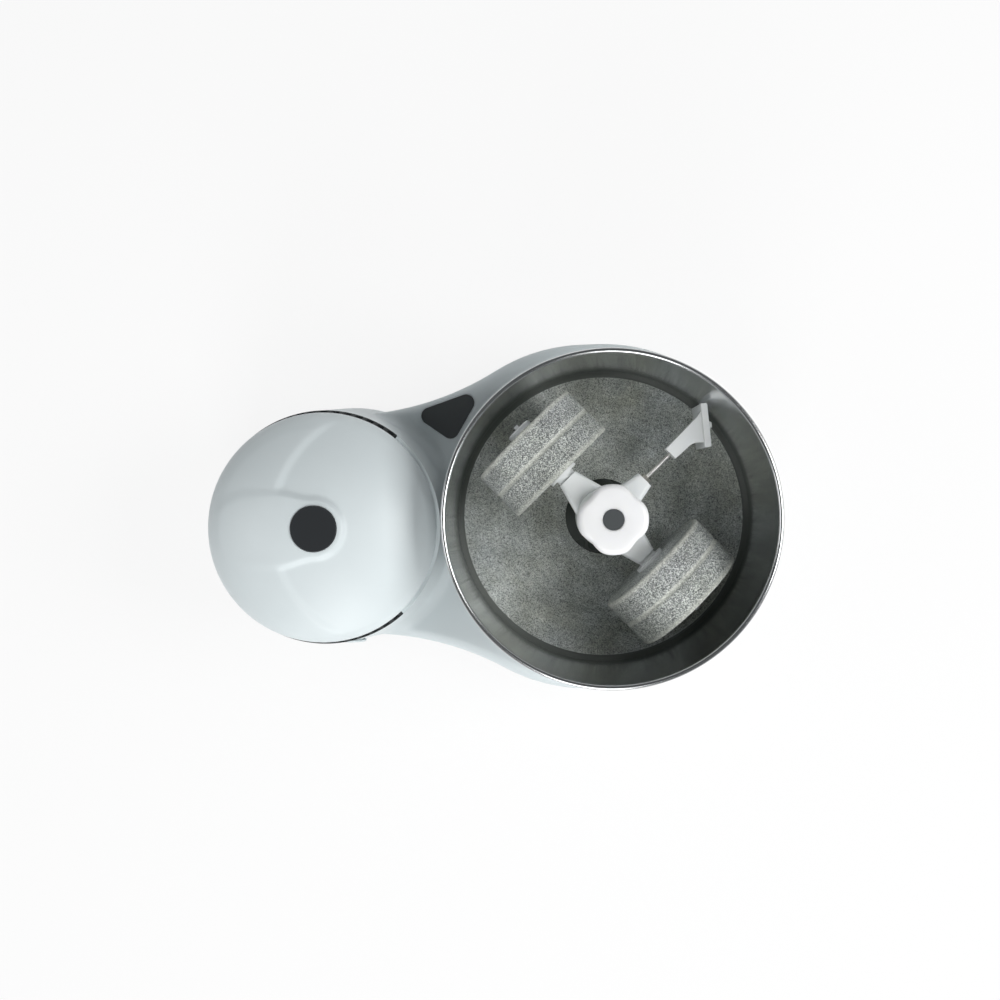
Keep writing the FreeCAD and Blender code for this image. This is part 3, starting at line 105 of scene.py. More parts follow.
class Shader:
    """A material with one Principled shader and short ways to feed it."""

    def __init__(self, name, colour, roughness, metallic=0.0):
        self.material = bpy.data.materials.new(name)
        self.material.use_nodes = True
        self.tree = self.material.node_tree
        self.shader = self.tree.nodes["Principled BSDF"]
        self.set("Base Color", (*colour, 1))
        self.set("Roughness", roughness)
        self.set("Metallic", metallic)
        self.place = self.node("TexCoord").outputs["Object"]

    def set(self, socket, value):
        self.shader.inputs[socket].default_value = value

    def feed(self, socket, output):
        self.link(output, self.shader, socket)

    def link(self, output, node, socket):
        self.tree.links.new(output, node.inputs[socket])

    def node(self, kind, inputs=None):
        """A new node of a kind, with some of its inputs set."""
        made = self.tree.nodes.new("ShaderNode" + kind)
        for socket, value in (inputs or {}).items():
            made.inputs[socket].default_value = value
        return made

    def from_centre(self, centre, scale=1):
        """Coordinates measured from a centre and enlarged."""
        mapping = self.node("Mapping", {"Location": centre, "Scale": [1 / scale] * 3})
        mapping.vector_type = "TEXTURE"
        self.link(self.place, mapping, "Vector")
        return mapping.outputs["Vector"]

    def rings(self, axis, scale):
        """Coordinates of radius and height round an upright axis, enlarged, for lathe lines."""
        parts = self.node("SeparateXYZ")
        self.link(self.from_centre((axis.x, axis.y, 0)), parts, "Vector")
        flat = self.node("CombineXYZ")
        self.link(parts.outputs["X"], flat, "X")
        self.link(parts.outputs["Y"], flat, "Y")
        reach = self.node("VectorMath")
        reach.operation = "LENGTH"
        self.link(flat.outputs["Vector"], reach, 0)
        joined = self.node("CombineXYZ")
        self.link(reach.outputs["Value"], joined, "X")
        self.link(parts.outputs["Z"], joined, "Z")
        mapping = self.node("Mapping", {"Scale": [scale] * 3})
        self.link(joined.outputs["Vector"], mapping, "Vector")
        return mapping.outputs["Vector"]

    def noise(self, scale, detail=2.0, rough=0.5, vector=None):
        node = self.node("TexNoise", {"Scale": scale, "Detail": detail, "Roughness": rough})
        self.link(vector or self.place, node, "Vector")
        return node.outputs["Fac"]

    def grains(self, scale):
        """One random number for each grain of a packed pattern."""
        node = self.node("TexVoronoi", {"Scale": scale})
        self.link(self.place, node, "Vector")
        split = self.node("SeparateColor")
        self.link(node.outputs["Color"], split, "Color")
        return split.outputs["Red"]

    def attribute(self, name):
        """A number that the mesh carries at each point, nothing where it has none."""
        node = self.node("Attribute")
        node.attribute_name = name
        return node.outputs["Fac"]

    def ramp(self, value, stops):
        """Colours along a number."""
        node = self.node("ValToRGB")
        set_stops(node.color_ramp, stops)
        self.link(value, node, "Fac")
        return node.outputs["Color"]

    def spread(self, value, low, high, from_low=0.3, from_high=0.7):
        """A number stretched to run from low to high."""
        ends = {"From Min": from_low, "From Max": from_high, "To Min": low, "To Max": high}
        node = self.node("MapRange", ends)
        self.link(value, node, "Value")
        return node.outputs["Result"]

    def mix(self, share, first, second, kind="MIX"):
        """Two colours mixed; share is a number or the output of a node."""
        node = self.node("Mix")
        node.data_type = "RGBA"
        node.blend_type = kind
        if hasattr(share, "is_linked"):
            self.link(share, node, 0)
        else:
            node.inputs[0].default_value = share
        colours = [socket for socket in node.inputs if socket.type == "RGBA"]
        for socket, output in zip(colours, (first, second)):
            self.tree.links.new(output, socket)
        return [socket for socket in node.outputs if socket.type == "RGBA"][0]

    def bump(self, height, strength, distance):
        node = self.node("Bump", {"Strength": strength, "Distance": distance})
        self.link(height, node, "Height")
        self.feed("Normal", node.outputs["Normal"])


# Kinds of finish

PLASTIC_GRAIN = 0.4 * MM
STONE_GRAIN = 0.6 * MM
TOOL_LINE = 0.2 * MM
NYLON_GLOW = (7.0 * MM, 7.0 * MM, 7.5 * MM)
DUST_FINENESS = 2.3
RUBBED_FINENESS = 0.8
TURNING_MARKS = 240


def shade(colour, factor):
    return tuple(part * factor for part in colour)


def grey(level):
    return (level, level, level)


def moulded(name, colour, roughness, grain=900.0, grain_depth=0.06, gloss=0.5):
    """Moulded plastic: faint cloudiness, uneven gloss and a fine grain."""
    made = Shader(name, colour, roughness)
    made.set("Specular IOR Level", gloss)
    clouds = made.noise(scale=14, detail=3)
    made.feed("Base Color", made.ramp(clouds, [(0.3, shade(colour, 0.95)), (0.7, colour)]))
    polish = made.noise(scale=25, detail=3)
    made.feed("Roughness", made.spread(polish, low=roughness * 0.95, high=roughness * 1.06))
    made.bump(made.noise(scale=grain), strength=grain_depth, distance=PLASTIC_GRAIN)
    return made.material


def nylon(name, colour):
    """White nylon that lets a little light through."""
    made = Shader(name, colour, roughness=0.38)
    made.set("Subsurface Weight", 0.5)
    made.set("Subsurface Radius", NYLON_GLOW)
    made.set("Subsurface Scale", 1.0)
    clouds = made.noise(scale=30, detail=3)
    made.feed("Base Color", made.ramp(clouds, [(0.3, shade(colour, 0.94)), (0.7, colour)]))
    polish = made.noise(scale=90, detail=4)
    made.feed("Roughness", made.spread(polish, low=0.32, high=0.46))
    made.bump(made.noise(scale=700), strength=0.05, distance=PLASTIC_GRAIN)
    return made.material


def packed_grains(made, dark, body, light, grain_size):
    """Dark, grey and pale grains mixed with finer dust."""
    black = shade(dark, 0.3)
    grain_stops = [(0.0, black), (0.14, black), (0.2, dark), (0.34, shade(body, 0.8))]
    grain_stops += [(0.62, body), (0.74, light), (1.0, light)]
    dust_stops = [(0.1, shade(body, 0.45)), (0.5, body), (0.9, light)]
    grain = made.ramp(made.grains(1 / grain_size), grain_stops)
    dust = made.ramp(made.grains(DUST_FINENESS / grain_size), dust_stops)
    return made.mix(0.3, grain, dust)


def stone(name, dark, body, light, stain, grain_size, swirl=0.0):
    """Granite of packed grains with stains, darker patches, turning marks and rubbed edges."""
    made = Shader(name, body, roughness=0.7)
    grains = packed_grains(made, dark, body, light, grain_size)
    cloud = made.ramp(made.noise(scale=17, detail=5, rough=0.6), [(0.32, grey(1)), (0.68, stain)])
    stained = made.mix(0.85, grains, cloud, "MULTIPLY")
    patches = made.ramp(made.noise(scale=55, detail=3), [(0.36, grey(0.72)), (0.66, grey(1))])
    patched = made.mix(0.9, stained, patches, "MULTIPLY")
    lines = made.noise(scale=1, detail=4, rough=0.7, vector=made.rings(DRUM, TURNING_MARKS))
    marks = made.ramp(lines, [(0.35, grey(0.6)), (0.6, grey(1))])
    turned = made.mix(swirl, patched, marks, "MULTIPLY")
    rubbed_stops = [(0.1, shade(stain, 0.4)), (0.7, shade(stain, 0.8))]
    rubbed = made.ramp(made.grains(RUBBED_FINENESS / grain_size), rubbed_stops)
    share = made.spread(made.attribute("wear_and_shade"), low=0.0, high=0.6, from_low=0.25, from_high=1.0)
    made.feed("Base Color", made.mix(share, turned, rubbed))
    made.feed("Roughness", made.spread(made.noise(scale=300, detail=3), low=0.55, high=0.8))
    made.bump(made.noise(scale=900, detail=3), strength=0.35, distance=STONE_GRAIN)
    return made.material


def steel(name, colour, roughness, lines, strength=0.05):
    """Metal with fine tool lines and uneven polish, darker where the mesh carries a darkening: a dull
    finish, and painted shade on the drum's rim.

    Roughness is its least and its most, and lines gives the coordinates that the tool lines run in.
    """
    low, high = roughness
    made = Shader(name, colour, low, metallic=1.0)
    marks = made.noise(scale=1, detail=3, rough=0.6, vector=lines(made))
    made.feed("Roughness", made.spread(marks, low, high))
    plain = made.ramp(marks, [(0.3, shade(colour, 0.95)), (0.7, colour)])
    # Darker copy of the metal: a dull finish, and painted shade where the drum's rim uses it.
    dull_and_painted_shade = made.ramp(marks, [(0.3, shade(colour, 0.62)), (0.7, shade(colour, 0.7))])
    made.feed("Base Color", made.mix(made.attribute("wear_and_shade"), plain, dull_and_painted_shade))
    made.bump(marks, strength, distance=TOOL_LINE)
    return made.material


def plain_lines(scale):
    return lambda made: made.from_centre((0, 0, 0), scale)


def lathe_lines(axis, scale):
    return lambda made: made.rings(axis, scale)


def paint(item, material):
    item.data.materials.clear()
    item.data.materials.append(material)


# Materials

WHITE = moulded("shell_white", (0.72, 0.785, 0.80), roughness=0.42, grain=700, grain_depth=0.03)
TRAY = moulded("tray_grey", (0.30, 0.31, 0.32), roughness=0.55)
DARK = moulded("dark_plastic", (0.030, 0.034, 0.036), roughness=0.7, gloss=0.12)
PAD = moulded("pad_black", (0.070, 0.077, 0.080), roughness=0.36, grain=1400, grain_depth=0.03)
BADGE = moulded("badge_black", (0.026, 0.029, 0.032), roughness=0.30, grain=1400, grain_depth=0.02)
NYLON = nylon("white_nylon", (0.83, 0.855, 0.855))
KNOB_WHITE = nylon("knob_white", (0.93, 0.935, 0.94))
RUBBER = moulded("foot_rubber", (0.055, 0.060, 0.056), roughness=0.5, grain=1200, grain_depth=0.2)
SEAL = moulded("seal_rubber", (0.105, 0.115, 0.105), roughness=0.32, grain=1200, grain_depth=0.1)
BOSS = moulded("boss_black", (0.045, 0.052, 0.046), roughness=0.28, grain=1200, grain_depth=0.05)
BELT = moulded("belt_rubber", (0.02, 0.02, 0.02), roughness=0.75, grain=1500, grain_depth=0.3)
GRANITE = stone("granite", dark=(0.025, 0.03, 0.035), body=(0.27, 0.29, 0.295),
                light=(0.86, 0.89, 0.87), stain=(0.90, 0.92, 0.83), grain_size=0.6 * MM)
FLOOR_STONE = stone("granite_floor", dark=(0.17, 0.19, 0.19), body=(0.58, 0.63, 0.615),
                    light=(0.93, 0.97, 0.96), stain=(0.72, 0.70, 0.59), grain_size=0.55 * MM, swirl=0.45)
DRUM_STEEL = steel("drum_steel", (0.83, 0.845, 0.85), roughness=(0.14, 0.20),
                   lines=lathe_lines(DRUM, 700), strength=0.008)
SHAFT_STEEL = steel("shaft_steel", (0.74, 0.73, 0.70), roughness=(0.40, 0.50),
                    lines=plain_lines(250), strength=0.01)
ZINC = steel("fastener_zinc", (0.64, 0.62, 0.57), roughness=(0.45, 0.60), lines=plain_lines(500))
ALLOY = steel("cast_alloy", (0.55, 0.56, 0.57), roughness=(0.35, 0.6),
              lines=plain_lines(400), strength=0.2)
LAMINATION = steel("lamination", (0.22, 0.23, 0.24), roughness=(0.4, 0.6),
                   lines=lathe_lines(MOTOR, 3000), strength=0.4)
COPPER = steel("copper_wire", (0.55, 0.26, 0.12), roughness=(0.3, 0.5),
               lines=lathe_lines(MOTOR, 1800), strength=0.5)

BY_SLOT = {
    "shell_white": WHITE, "tray_grey": TRAY, "foot_rubber": RUBBER, "dark_plastic": DARK,
    "pad_black": PAD, "belt_rubber": BELT, "fastener_zinc": ZINC, "shaft_steel": SHAFT_STEEL,
    "cast_alloy": ALLOY, "lamination": LAMINATION, "copper_wire": COPPER, "drum_steel": DRUM_STEEL,
    "granite": GRANITE, "white_nylon": NYLON,
}
BY_NODE = {
    "stone_base": FLOOR_STONE, "cap_badge": BADGE, "seal_ring": SEAL, "drum_boss": BOSS,
    "cord_gland": WHITE,
}
for entry in frame["record"]["subparts"]:
    paint(NODES[entry["node"]], BY_SLOT[entry["material_slot"]])
for node_name, finish in BY_NODE.items():
    paint(NODES[node_name], finish)


# Mesh helpers

SHARP_ANGLE = math.radians(40)


def angles(count):
    return [2 * math.pi * index / count for index in range(count)]


def ease(value):
    """Smooth step from 0 to 1."""
    value = min(max(value, 0.0), 1.0)
    return value * value * (3 - 2 * value)


def arc(centre, radius, start, end, count):
    """Points of a round stretch of a profile, as reach and height, between two angles in degrees."""
    points = []
    for index in range(count + 1):
        turn = math.radians(start + (end - start) * index / count)
        points.append((centre[0] + radius * math.cos(turn), centre[1] + radius * math.sin(turn)))
    return points


def round_point(axis, reach, turn, height):
    """A point at a reach and an angle from an upright axis."""
    return (axis.x + reach * math.cos(turn), axis.y + reach * math.sin(turn), height)


def lathe(profile, axis, count):
    """Rings of a profile of reach and height turned about an upright axis."""
    rings = []
    for reach, height in profile:
        rings.append([round_point(axis, reach, turn, height) for turn in angles(count)])
    return rings


def skin(rings, loop):
    """Vertices and faces of rings joined one to the next.

    A ring of one point closes an end, and a loop joins the last ring to the first.
    """
    points = []
    starts = []
    for ring in rings:
        starts.append((len(points), len(ring)))
        points.extend(ring)
    faces = []
    followers = starts[1:] + starts[:1] if loop else starts[1:]
    for (first, count), (after, after_count) in zip(starts, followers):
        for index in range(max(count, after_count)):
            following = (index + 1) % max(count, after_count)
            if count == 1:
                faces.append((first, after + index, after + following))
            elif after_count == 1:
                faces.append((first + index, after, first + following))
            else:
                faces.append((first + index, after + index, after + following, first + following))
    return points, faces


def piece(name, rings, body, material, loop=False):
    """A piece made of rings that rides on a body and takes its finish from a slot."""
    points, faces = skin(rings, loop)
    mesh = bpy.data.meshes.new(name)
    mesh.from_pydata(points, [], faces)
    work = bmesh.new()
    work.from_mesh(mesh)
    bmesh.ops.recalc_face_normals(work, faces=work.faces)
    work.to_mesh(mesh)
    work.free()
    mesh.shade_smooth()
    mesh.set_sharp_from_angle(angle=SHARP_ANGLE)
    made = bpy.data.objects.new(name, mesh)
    bpy.context.scene.collection.objects.link(made)
    paint(made, material)
    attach(made, body)
    return made


def note_wear_and_shade(made, wear_and_shade_levels, count):
    """Keep on the mesh a darkening for each of its rings: how worn the stones are, and on the drum a dull
    finish and painted shade.
    """
    values = [wear_and_shade for wear_and_shade in wear_and_shade_levels for _ in range(count)]
    made.data.attributes.new("wear_and_shade", "FLOAT", "POINT").data.foreach_set("value", values)


# Motor cap: a dome with a raised side and a tongue round the badge

CAP_TURNS = 240
CAP_RINGS = 62
CAP_CROWDING = 1.25
CAP_SKIRT = 7.0 * MM
CAP_EDGE_Z = CAP_LOW_Z + CAP_SKIRT
CAP_RISE = 28.0 * MM
CAP_WALL = 2.5 * MM
CAP_FADE_FROM = 0.84
BADGE_GAP = 0.35 * MM
WING_CENTRE = -66.0 * MM
WING_R = 99.0 * MM
WING_STEP = 9.0 * MM
WING_RISE = 1.7 * MM
TONGUE_R = 23.5 * MM
TONGUE_WIDE = 29.5 * MM
TONGUE_FLARE = 30.0 * MM
TONGUE_TURN_IN = 53.0 * MM
TONGUE_END = 88.0 * MM
TONGUE_END_WIDE = 12.0 * MM
TONGUE_STEP = 4.0 * MM
TONGUE_SOFTENING = 0.12
TONGUE_RISE = 2.6 * MM


def dome_height(reach):
    """Height of the plain dome over its lower edge, with a round shoulder."""
    sphere = (CAP_R ** 2 + CAP_RISE ** 2) / (2 * CAP_RISE)
    height = math.sqrt(sphere ** 2 - reach ** 2) - (sphere - CAP_RISE)
    shoulder = CAP_R - CAP_SKIRT
    if reach > shoulder:
        height -= CAP_SKIRT - math.sqrt(max(CAP_SKIRT ** 2 - (reach - shoulder) ** 2, 0))
    return height


def tongue_half(x):
    """Half width of the tongue at a distance outward from the cap's axis."""
    half = TONGUE_R + (TONGUE_WIDE - TONGUE_R) * ease(x / TONGUE_FLARE)
    past = max(x - TONGUE_TURN_IN, 0) / (TONGUE_END - TONGUE_TURN_IN)
    return half - (TONGUE_WIDE - TONGUE_END_WIDE) * past ** 2


def cap_relief(x, y):
    """Height of the raised forms over the dome, which fade out near the cap's edge."""
    reach = math.hypot(x, y)
    wing = ease((math.hypot(x - WING_CENTRE, y) - WING_R) / WING_STEP + 0.5)
    outside = reach - TONGUE_R if x < 0 else abs(y) - tongue_half(x)
    step = TONGUE_STEP + TONGUE_SOFTENING * max(x, 0)
    tongue = ease(0.5 - outside / step)
    strength = 1 - ease((reach / CAP_R - CAP_FADE_FROM) / (1 - CAP_FADE_FROM))
    return strength * (WING_RISE * wing + tongue * (TONGUE_RISE - WING_RISE * wing))


def cap_ring(reach):
    """Points of one ring of the cap's outside."""
    points = []
    for turn in angles(CAP_TURNS):
        x = reach * math.cos(turn)
        y = reach * math.sin(turn)
        height = CAP_EDGE_Z + dome_height(min(math.hypot(x, y), CAP_R)) + cap_relief(x, y)
        points.append((MOTOR.x + x, MOTOR.y + y, height))
    return points


def cap_shell():
    """The badge's seat, the outside with rings that crowd toward the edge, and the inside."""
    seat = BADGE_R + BADGE_GAP
    inside = CAP_R - CAP_WALL
    rings = [[(MOTOR.x, MOTOR.y, BADGE_LOW_Z)]]
    rings += lathe([(seat, BADGE_LOW_Z)], MOTOR, CAP_TURNS)
    for index in range(CAP_RINGS + 1):
        share = 1 - (1 - index / CAP_RINGS) ** CAP_CROWDING
        rings.append(cap_ring(seat + (CAP_R - seat) * share))
    lower_edge = [(CAP_R, CAP_LOW_Z), (inside, CAP_LOW_Z), (inside, CAP_EDGE_Z - CAP_WALL)]
    rings += lathe(lower_edge, MOTOR, CAP_TURNS)
    rings.append([(MOTOR.x, MOTOR.y, CAP_EDGE_Z + CAP_RISE - 2 * CAP_WALL)])
    made = piece("cap_shell", rings, "base", WHITE)
    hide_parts("motor_cap")


# Louvred vent under the cap, sloping in so that the cap's edge hangs over it

VENT_SLOPE = 3.0 * MM
VENT_BEHIND = 4.5 * MM
VENT_DEEP = 8.0 * MM
VENT_HALF = math.radians(130)
LOUVRES = 44
LOUVRE_STEPS = 8
LOUVRE_OPEN = (2, 3, 4, 5)
LOUVRE_DEEP = 4.0 * MM
LOUVRE_EDGE = 2.5 * MM


def louvre_steps():
    """Angles round the vent, each with whether a slot is open there, or None behind the housing wall."""
    count = LOUVRES * LOUVRE_STEPS
    steps = []
    for index in range(count + 1):
        turn = VENT_HALF * (2 * index / count - 1)
        steps.append((turn, index % LOUVRE_STEPS in LOUVRE_OPEN))
    behind = 2 * math.pi - 2 * VENT_HALF
    for index in range(1, LOUVRES):
        steps.append((VENT_HALF + behind * index / LOUVRES, None))
    return steps


def vent_ring(steps, height, cut, deep=0.0):
    """Points of one ring of the vent, with its slots cut in or not."""
    points = []
    for turn, is_open in steps:
        reach = VENT_R - deep - VENT_SLOPE * height / (VENT_TOP_Z - VENT_LOW_Z)
        if is_open is None:
            reach = min(reach, VENT_R - VENT_BEHIND)
        elif is_open and cut:
            reach -= LOUVRE_DEEP
        points.append(round_point(MOTOR, reach, turn, VENT_LOW_Z + height))
    return points


def vent_band():
    """Ring whose slots are cut in toward the axis; on the drum's side it runs behind the housing wall."""
    tall = VENT_TOP_Z - VENT_LOW_Z
    steps = louvre_steps()
    rings = [vent_ring(steps, 0, False, VENT_DEEP), vent_ring(steps, 0, False),
             vent_ring(steps, LOUVRE_EDGE, False), vent_ring(steps, LOUVRE_EDGE, True),
             vent_ring(steps, tall - LOUVRE_EDGE, True), vent_ring(steps, tall - LOUVRE_EDGE, False),
             vent_ring(steps, tall, False), vent_ring(steps, tall, False, VENT_DEEP)]
    made = piece("vent_band", rings, "base", DARK, loop=True)
    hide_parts("vent_ring")


# Steel drum, lathed finely so that its bead and wall reflect cleanly

DRUM_TURNS = 256
BEAD_R = 2.0 * MM
BEAD_STEP = 1.0 * MM
BEAD_POINTS = 24
DRUM_STEEL_THICK = 1.2 * MM
DRUM_TAPER = 2.0 * MM
DRUM_CORNER_R = 7.0 * MM
DRUM_CORNER_POINTS = 8
DRUM_TUBE_R = 22.0 * MM
OUTSIDE_DULL = 0.6
# The rim bead's steel is painted darker than the wall: painted shade that dims its reflection.
RIM_PAINTED_SHADE = 1.0
INSIDE_DULL = 0.0


def drum_pan():
    """Outside, rolled rim and inside of the drum in one profile; the outside is a duller finish, and the
    rim bead is painted darker as shade that dims its reflection.
    """
    top_in = RIM_R - 2 * BEAD_R
    floor_in = top_in - DRUM_TAPER
    corner = (floor_in + DRUM_STEEL_THICK - DRUM_CORNER_R, DRUM_LOW_Z + DRUM_CORNER_R)
    bead = (RIM_R - BEAD_R, RIM_Z - BEAD_R)
    outside = [(DRUM_TUBE_R, DRUM_LOW_Z)]
    outside += arc(corner, DRUM_CORNER_R, -90, 0, DRUM_CORNER_POINTS)
    outside += [(floor_in + DRUM_STEEL_THICK, STONE_TOP_Z)]
    outside += [(top_in + DRUM_STEEL_THICK, bead[1] - BEAD_R - BEAD_STEP)]
    rim = arc(bead, BEAD_R, -90, 180, BEAD_POINTS)
    inside = [(top_in, bead[1] - BEAD_STEP), (floor_in, STONE_TOP_Z)]
    inside += arc(corner, DRUM_CORNER_R - DRUM_STEEL_THICK, 0, -90, DRUM_CORNER_POINTS)
    inside += [(DRUM_TUBE_R, DRUM_LOW_Z + DRUM_STEEL_THICK)]
    rings = lathe(outside + rim + inside, DRUM, DRUM_TURNS)
    made = piece("drum_pan", rings, "drum", DRUM_STEEL, loop=True)
    wear_and_shade_levels = [OUTSIDE_DULL] * len(outside) + [RIM_PAINTED_SHADE] * len(rim) + [INSIDE_DULL] * len(inside)
    note_wear_and_shade(made, wear_and_shade_levels, DRUM_TURNS)
    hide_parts("drum_shell")


# Stone rollers with worn, slightly uneven edges and a shallow groove

ROLLER_TURNS = 180
ROLLER_HALF = 22.5 * MM
ROLLER_BORE = 10.0 * MM
ROLLER_EDGE = 2.0 * MM
EDGE_POINTS = 4
WORN_BAND = 3 * ROLLER_EDGE
GROOVE_HALF = 1.6 * MM
GROOVE_CLEAR = 3 * GROOVE_HALF
GROOVE_LIP = 1.3 * GROOVE_HALF
GROOVE_FLAT = 0.3 * GROOVE_HALF
GROOVE_DEEP = 0.9 * MM
GROOVE_SHOULDER = 0.3 * GROOVE_DEEP
LIP_WEAR = 0.35
WEAR = 0.45 * MM
WEAR_PATCHES = 160
WEAR_BIAS = 0.25
FACE_WEAR_SHARE = 0.5


def roller_profile(radius, half):
    """Reach, place along the axle and wear of each ring, from one face's bore to the other's."""
    side = [(ROLLER_BORE, -half, 0.0), (radius - WORN_BAND, -half, 0.0)]
    for reach, along in arc((radius - ROLLER_EDGE, ROLLER_EDGE - half), ROLLER_EDGE, -90, 0, EDGE_POINTS):
        side.append((reach, along, 1.0))
    side += [(radius, WORN_BAND - half, 0.0), (radius, -GROOVE_CLEAR, 0.0)]
    side += [(radius, -GROOVE_LIP, LIP_WEAR), (radius - GROOVE_SHOULDER, -GROOVE_HALF, 1.0)]
    side += [(radius - GROOVE_DEEP, -GROOVE_FLAT, 1.0)]
    other = [(reach, -along, wear_and_shade) for reach, along, wear_and_shade in reversed(side)]
    return side + other


def roller_stone(name, body, centre, axle):
    """A stone wheel turned about its axle, with its edges rubbed back unevenly."""
    radius = half_size("roller_stone_" + name, Z)
    across = axle.cross(UP)
    rings = []
    profile = roller_profile(radius, ROLLER_HALF)
    for reach, along, wear_and_shade in profile:
        ring = []
        for turn in angles(ROLLER_TURNS):
            outward = across * math.cos(turn) + UP * math.sin(turn)
            spot = outward * reach + axle * along
            rubbed = wear_and_shade * WEAR * max(noise.noise(spot * WEAR_PATCHES) + WEAR_BIAS, 0)
            inward = 1 - FACE_WEAR_SHARE * rubbed / ROLLER_HALF
            ring.append(centre + outward * (reach - rubbed) + axle * along * inward)
        rings.append(ring)
    made = piece("roller_wheel_" + name, rings, body, GRANITE, loop=True)
    note_wear_and_shade(made, [wear_and_shade for _, _, wear_and_shade in profile], ROLLER_TURNS)
    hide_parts("roller_stone_" + name)


# Lock knob with four soft lobes

KNOB_TURNS = 192
KNOB_LOBES = 4
KNOB_LOBE_WIDTH = 2.6
KNOB_SCALLOP = 3.0 * MM
KNOB_SKIRT_Z = DISC.z - 26.5 * MM
KNOB_FOOT_IN = 3.0 * MM
KNOB_FOOT_SHARE = 0.6
KNOB_FLARE_IN = 0.8 * MM
KNOB_FLARE_UP = 2.5 * MM
KNOB_FLARE_SHARE = 0.9
KNOB_FULL_UP = 5.5 * MM
KNOB_CROWN = 4.5 * MM
KNOB_CROWN_POINTS = 12
KNOB_CROWN_FADE = 0.2
KNOB_TOP_IN = 2.2 * KNOB_CROWN
KNOB_TOP_SHARE = 0.4
KNOB_SEAT_GAP = 0.35 * MM
SPIGOT_R = 8.0 * MM


def lobe(turn):
    """Share of the scallop's depth at an angle, nothing on the lobes, which a higher width widens."""
    return (0.5 - 0.5 * math.cos(KNOB_LOBES * turn)) ** KNOB_LOBE_WIDTH


def knob_flank():
    """Reach, height and share of the scallop's depth, from the knob's foot over its crown."""
    flank = [(KNOB_R - KNOB_FOOT_IN, KNOB_SKIRT_Z, KNOB_FOOT_SHARE)]
    flank += [(KNOB_R - KNOB_FLARE_IN, KNOB_SKIRT_Z + KNOB_FLARE_UP, KNOB_FLARE_SHARE)]
    flank += [(KNOB_R, KNOB_SKIRT_Z + KNOB_FULL_UP, 1.0)]
    crown = arc((KNOB_R - KNOB_CROWN, KNOB_TOP_Z - KNOB_CROWN), KNOB_CROWN, 0, 90, KNOB_CROWN_POINTS)
    for index, (reach, height) in enumerate(crown):
        flank.append((reach, height, 1.0 - KNOB_CROWN_FADE * index / KNOB_CROWN_POINTS))
    return flank + [(KNOB_R - KNOB_TOP_IN, KNOB_TOP_Z, KNOB_TOP_SHARE)]


def knob_ring(reach, height, share):
    """Points of one scalloped ring."""
    points = []
    for turn in angles(KNOB_TURNS):
        scalloped = reach - KNOB_SCALLOP * share * lobe(turn)
        points.append(round_point(DRUM, scalloped, turn, height))
    return points


def lock_knob():
    """Spigot, scalloped flank and the seat of the dark disc."""
    seat = DISC_R + KNOB_SEAT_GAP
    rings = [[(DRUM.x, DRUM.y, KNOB_LOW_Z)]]
    rings += lathe([(SPIGOT_R, KNOB_LOW_Z), (SPIGOT_R, KNOB_SKIRT_Z)], DRUM, KNOB_TURNS)
    rings += [knob_ring(*step) for step in knob_flank()]
    rings += lathe([(seat, KNOB_TOP_Z), (seat, DISC_LOW_Z)], DRUM, KNOB_TURNS)
    rings.append([(DRUM.x, DRUM.y, DISC_LOW_Z)])
    made = piece("knob_shell", rings, "knob", KNOB_WHITE)
    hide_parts("lock_knob")


cap_shell()
vent_band()
drum_pan()
roller_stone("a", "roller_a", ROLLER_A, AXLE)
roller_stone("b", "roller_b", ROLLER_B, -AXLE)
lock_knob()


# Camera above the part and a little tilted, as in the photograph

PHOTO_PIXELS = 1000
FOCAL_PIXELS = 1142.0
NADIR_PIXEL = (540.7, 495.7)
CAMERA_FROM_DRUM = Vector((52.5, -19.4, 859.0)) * MM
ROLL = math.radians(2.0)
SENSOR_WIDTH = 36.0


def make_camera():
    """A camera turned so that the point straight below it falls on the nadir's pixel."""
    data = bpy.data.cameras.new("camera")
    data.sensor_width = SENSOR_WIDTH
    data.lens = FOCAL_PIXELS / PHOTO_PIXELS * data.sensor_width
    right = Vector((-math.cos(ROLL), math.sin(ROLL), 0))
    up = Vector((-math.sin(ROLL), -math.cos(ROLL), 0))
    off_right = (PHOTO_PIXELS / 2 - NADIR_PIXEL[0]) / FOCAL_PIXELS
    off_up = (NADIR_PIXEL[1] - PHOTO_PIXELS / 2) / FOCAL_PIXELS
    ahead = (-UP + right * off_right + up * off_up).normalized()
    right = ahead.cross(up).normalized()
    up = right.cross(ahead)
    camera = bpy.data.objects.new("camera", data)
    stand = Vector((DRUM.x, DRUM.y, RIM_Z)) + CAMERA_FROM_DRUM
    camera.matrix_world = Matrix.Translation(stand) @ Matrix((right, up, -ahead)).transposed().to_4x4()
    bpy.context.scene.collection.objects.link(camera)
    bpy.context.scene.camera = camera


# Studio floor

FLOOR_HALF = 6.0
FLOOR_WHITE = 0.86
FLOOR_PAINT = grey(0.9)
FLOOR_ROUGHNESS = 0.9


def seen_rays(tree):
    """1 for rays that show the background: from the camera, off gloss and through glass."""
    rays = tree.nodes.new("ShaderNodeLightPath")
    total = rays.outputs["Is Camera Ray"]
    for name in ("Is Glossy Ray", "Is Transmission Ray"):
        either = tree.nodes.new("ShaderNodeMath")
        either.operation = "MAXIMUM"
        tree.links.new(total, either.inputs[0])
        tree.links.new(rays.outputs[name], either.inputs[1])
        total = either.outputs[0]
    return total


